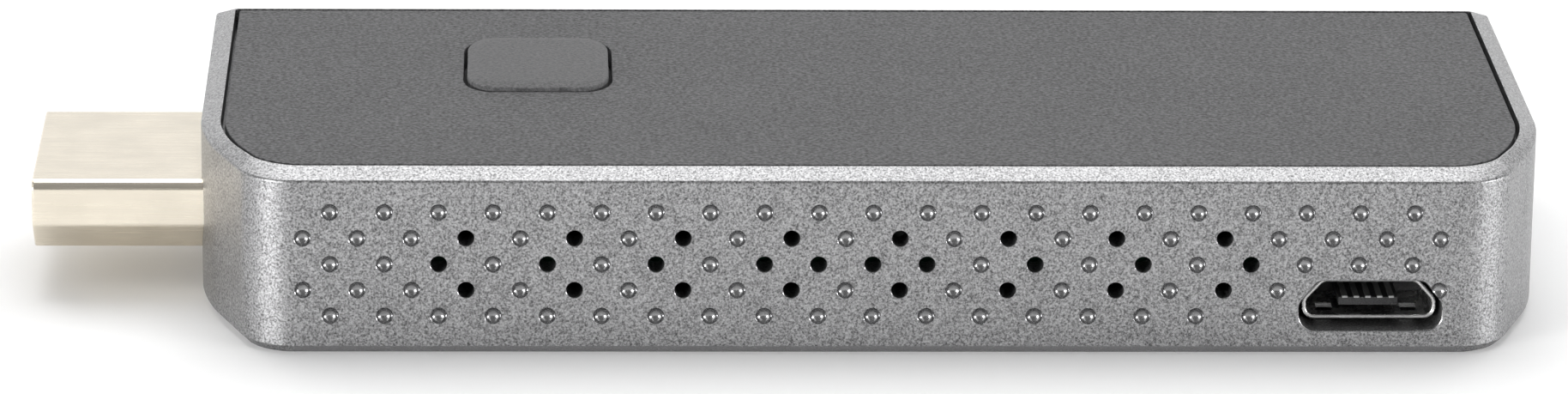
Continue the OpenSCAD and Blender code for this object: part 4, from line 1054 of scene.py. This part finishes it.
# Finishes of the CAD nodes that are shown as they are
INNER_FINISHES = {
    "tin": "switch_frame switch_terminals port_contacts flash_leads radio_can capacitor_ends crystal_can",
    "epoxy": "processor memory_chips flash_chip signal_buffer regulators",
    "nylon": "switch_base switch_plunger",
    "polymer": "plug_insulator port_insulator",
    "contact": "plug_upper_contacts plug_lower_contacts",
    "steel": "board_screws",
    "laminate": "main_board",
    "radio": "radio_board",
    "sink": "heat_sink",
    "silicone": "thermal_pad",
    "ceramic": "chip_antennas",
    "ferrite": "power_coils",
    "capacitor": "ceramic_capacitors",
}


class DONGLE_OT_inner_parts(bpy.types.Operator):
    """Finishes the connector blocks, contacts, switch, board and chips"""

    bl_idname = "dongle.inner_parts"
    bl_label = "Inner parts"

    def execute(self, context):
        for key, nodes in INNER_FINISHES.items():
            for node in nodes.split():
                for slot in frame["nodes"][node].material_slots:
                    slot.material = finish(key)
        return {"FINISHED"}


# Stage

# Camera as fitted to the photograph: focal length and sensor width in millimetres, turn to the right, turn down
# and roll in radians, and place in millimetres
LENS, SENSOR = 168.98, 36
YAW, PITCH, ROLL = 0.0370, 0.3080, -0.0124
CAMERA_PLACE = (-19.556, -403.143, 132.228)
# Elevation, inner and outer radius of the round softbox overhead, in degrees
OVERHEAD = (68, 23, 31)
# Softboxes: azimuth of the middle from the front towards the right, half width, lowest and highest elevation in
# degrees, and the name of their strength
SOFTBOXES = (
    (-150, 12, 24, 58, "key"),
    (150, 12, 24, 58, "key"),
    (-58, 8, 4, 58, "side"),
    (58, 8, 4, 58, "side"),
    (-50, 8, -8, 9, "low"),
    (73, 6, -8, 9, "low"),
)
# Degrees by which the edge of a softbox fades inwards and outwards
FADE = 4
# Heights between which the backdrop dims, and depths between which the room turns into it, as shares of the way
BACKDROP_FADE, ROOM_FADE = (0.2, 0.7), (-0.2, 0.4)


class DONGLE_OT_stage(bpy.types.Operator):
    """Sets the white floor, the pale backdrop, the soft lights and the camera"""

    bl_idname = "dongle.stage"
    bl_label = "Stage"

    def execute(self, context):
        settings = context.scene.dongle_stage
        bm = bmesh.new()
        bmesh.ops.create_grid(bm, x_segments=1, y_segments=1, size=3)
        floor = linked("studio_floor", bm)
        floor.data.materials.append(floor_material(context.scene.dongle_colours.floor, settings.glow))
        world(settings)
        camera()
        context.scene.view_settings.view_transform = "Standard"
        return {"FINISHED"}


def floor_material(base, glow):
    """Matt white acrylic on a lit table: even white with a soft shadow that never turns black."""
    material = bpy.data.materials.new("matt_white_acrylic")
    tree = emptied(material)
    # the camera sees the acrylic whiter than it lights the object
    seen = add(tree, "LightPath")
    white = add(tree, "MapRange", {"Value": seen.outputs["Is Camera Ray"], "To Min": base[0], "To Max": 1.0})
    matt = add(tree, "BsdfDiffuse", {"Color": white.outputs[0]})
    lit = add(tree, "Emission", {"Color": (1, 1, 1, 1), "Strength": glow})
    both = add(tree, "AddShader", {0: matt.outputs[0], 1: lit.outputs[0]})
    add(tree, "OutputMaterial", {"Surface": both.outputs[0]})
    return material


def world(settings):
    """Softboxes overhead, behind and at the front sides, a pale backdrop and a dim room behind the camera."""
    studio = bpy.data.worlds.new("studio")
    bpy.context.scene.world = studio
    tree = emptied(studio)
    way = add(tree, "TexCoord").outputs["Generated"]
    parts = add(tree, "SeparateXYZ", {"Vector": way})
    backdrop = add(tree, "MapRange", {
        "Value": parts.outputs["Z"], "From Min": BACKDROP_FADE[0], "From Max": BACKDROP_FADE[1],
        "To Min": settings.backdrop, "To Max": settings.backdrop / 2,
    })
    room = add(tree, "MapRange", {
        "Value": parts.outputs["Y"], "From Min": ROOM_FADE[0], "From Max": ROOM_FADE[1],
        "To Min": settings.room, "To Max": backdrop.outputs[0],
    })
    high, inner, outer = map(math.radians, OVERHEAD)
    above = add(tree, "VectorMath", {0: way, 1: (0, math.cos(high), math.sin(high))}, operation="DOT_PRODUCT")
    disc = add(tree, "MapRange", {
        "Value": above.outputs["Value"], "From Min": math.cos(outer), "From Max": math.cos(inner),
        "To Min": 0.0, "To Max": settings.overhead,
    }, interpolation_type="SMOOTHSTEP")
    level = add(tree, "Math", {0: room.outputs[0], 1: disc.outputs[0]}, operation="MAXIMUM").outputs[0]
    front = add(tree, "Math", {0: parts.outputs["Y"], 1: -1}, operation="MULTIPLY")
    azimuth = add(tree, "Math", {0: parts.outputs["X"], 1: front.outputs[0]}, operation="ARCTAN2")
    for aside, half, low, top, name in SOFTBOXES:
        off = add(tree, "Math", {0: azimuth.outputs[0], 1: math.radians(aside)}, operation="SUBTRACT")
        away = add(tree, "Math", {0: off.outputs[0]}, operation="ABSOLUTE").outputs[0]
        height = parts.outputs["Z"]
        edges = (
            (away, math.radians(half + FADE), math.radians(half - FADE)),
            (height, math.sin(math.radians(low - FADE)), math.sin(math.radians(low + FADE))),
            (height, math.sin(math.radians(top + FADE)), math.sin(math.radians(top - FADE))),
        )
        shape = getattr(settings, name)
        for value, none, full in edges:
            edge = add(tree, "MapRange", {
                "Value": value, "From Min": none, "From Max": full,
            }, interpolation_type="SMOOTHSTEP")
            shape = add(tree, "Math", {0: shape, 1: edge.outputs[0]}, operation="MULTIPLY").outputs[0]
        level = add(tree, "Math", {0: level, 1: shape}, operation="MAXIMUM").outputs[0]
    seen = add(tree, "LightPath")
    mix = add(tree, "Mix", {"Factor": seen.outputs["Is Camera Ray"], 2: level, 3: 1.0}, data_type="FLOAT")
    back = add(tree, "Background", {"Color": (1, 1, 1, 1), "Strength": mix.outputs[0]})
    add(tree, "OutputWorld", {"Surface": back.outputs[0]})


def camera():
    """The photograph's camera: a long lens in front, looking slightly down."""
    lens = bpy.data.cameras.new("camera")
    lens.sensor_fit = "HORIZONTAL"
    lens.sensor_width = SENSOR
    lens.lens = LENS
    lens.clip_start = 0.01
    lens.clip_end = 20
    made = bpy.data.objects.new("camera", lens)
    flat = math.cos(PITCH)
    ahead = Vector((math.sin(YAW) * flat, math.cos(YAW) * flat, -math.sin(PITCH)))
    right = Vector((math.cos(YAW), -math.sin(YAW), 0))
    down = ahead.cross(right)
    side = math.cos(ROLL) * right + math.sin(ROLL) * down
    drop = -math.sin(ROLL) * right + math.cos(ROLL) * down
    turn = Matrix((side, -drop, -ahead)).transposed().to_4x4()
    made.matrix_world = Matrix.Translation(Vector(CAMERA_PLACE) * MM) @ turn
    bpy.context.scene.collection.objects.link(made)
    bpy.context.scene.camera = made


STEPS = (
    DONGLE_OT_case, DONGLE_OT_cover, DONGLE_OT_button, DONGLE_OT_snap_dome, DONGLE_OT_plug, DONGLE_OT_port,
    DONGLE_OT_inner_parts, DONGLE_OT_stage,
)
GROUPS = {
    "dongle_case": DongleCaseSizes,
    "dongle_front": DongleFrontSizes,
    "dongle_connectors": DongleConnectorSizes,
    "dongle_button": DongleButtonSizes,
    "dongle_colours": DongleColours,
    "dongle_stage": DongleStage,
}


class DONGLE_PT_panel(bpy.types.Panel):
    """Lists the steps of the dongle"""

    bl_label = "Dongle"
    bl_space_type = "VIEW_3D"
    bl_region_type = "UI"
    bl_category = "Dongle"

    def draw(self, context):
        for step in STEPS:
            self.layout.operator(step.bl_idname)
        for name in GROUPS:
            box = self.layout.box()
            settings = getattr(context.scene, name)
            for field in settings.bl_rna.properties.keys():
                if field not in {"rna_type", "name"}:
                    box.prop(settings, field)


def register():
    """Registers the settings, the steps and the panel."""
    for name, group in GROUPS.items():
        bpy.utils.register_class(group)
        setattr(bpy.types.Scene, name, bpy.props.PointerProperty(type=group))
    for step in STEPS:
        bpy.utils.register_class(step)
    bpy.utils.register_class(DONGLE_PT_panel)


def unregister():
    """Takes back what register did."""
    bpy.utils.unregister_class(DONGLE_PT_panel)
    for step in reversed(STEPS):
        bpy.utils.unregister_class(step)
    for name, group in reversed(list(GROUPS.items())):
        delattr(bpy.types.Scene, name)
        bpy.utils.unregister_class(group)


def main():
    """Makes every piece and the stage."""
    register()
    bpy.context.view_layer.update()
    bpy.ops.dongle.case()
    bpy.ops.dongle.cover()
    bpy.ops.dongle.button()
    bpy.ops.dongle.snap_dome()
    bpy.ops.dongle.plug()
    bpy.ops.dongle.port()
    bpy.ops.dongle.inner_parts()
    bpy.ops.dongle.stage()


if __name__ == "__main__":
    main()
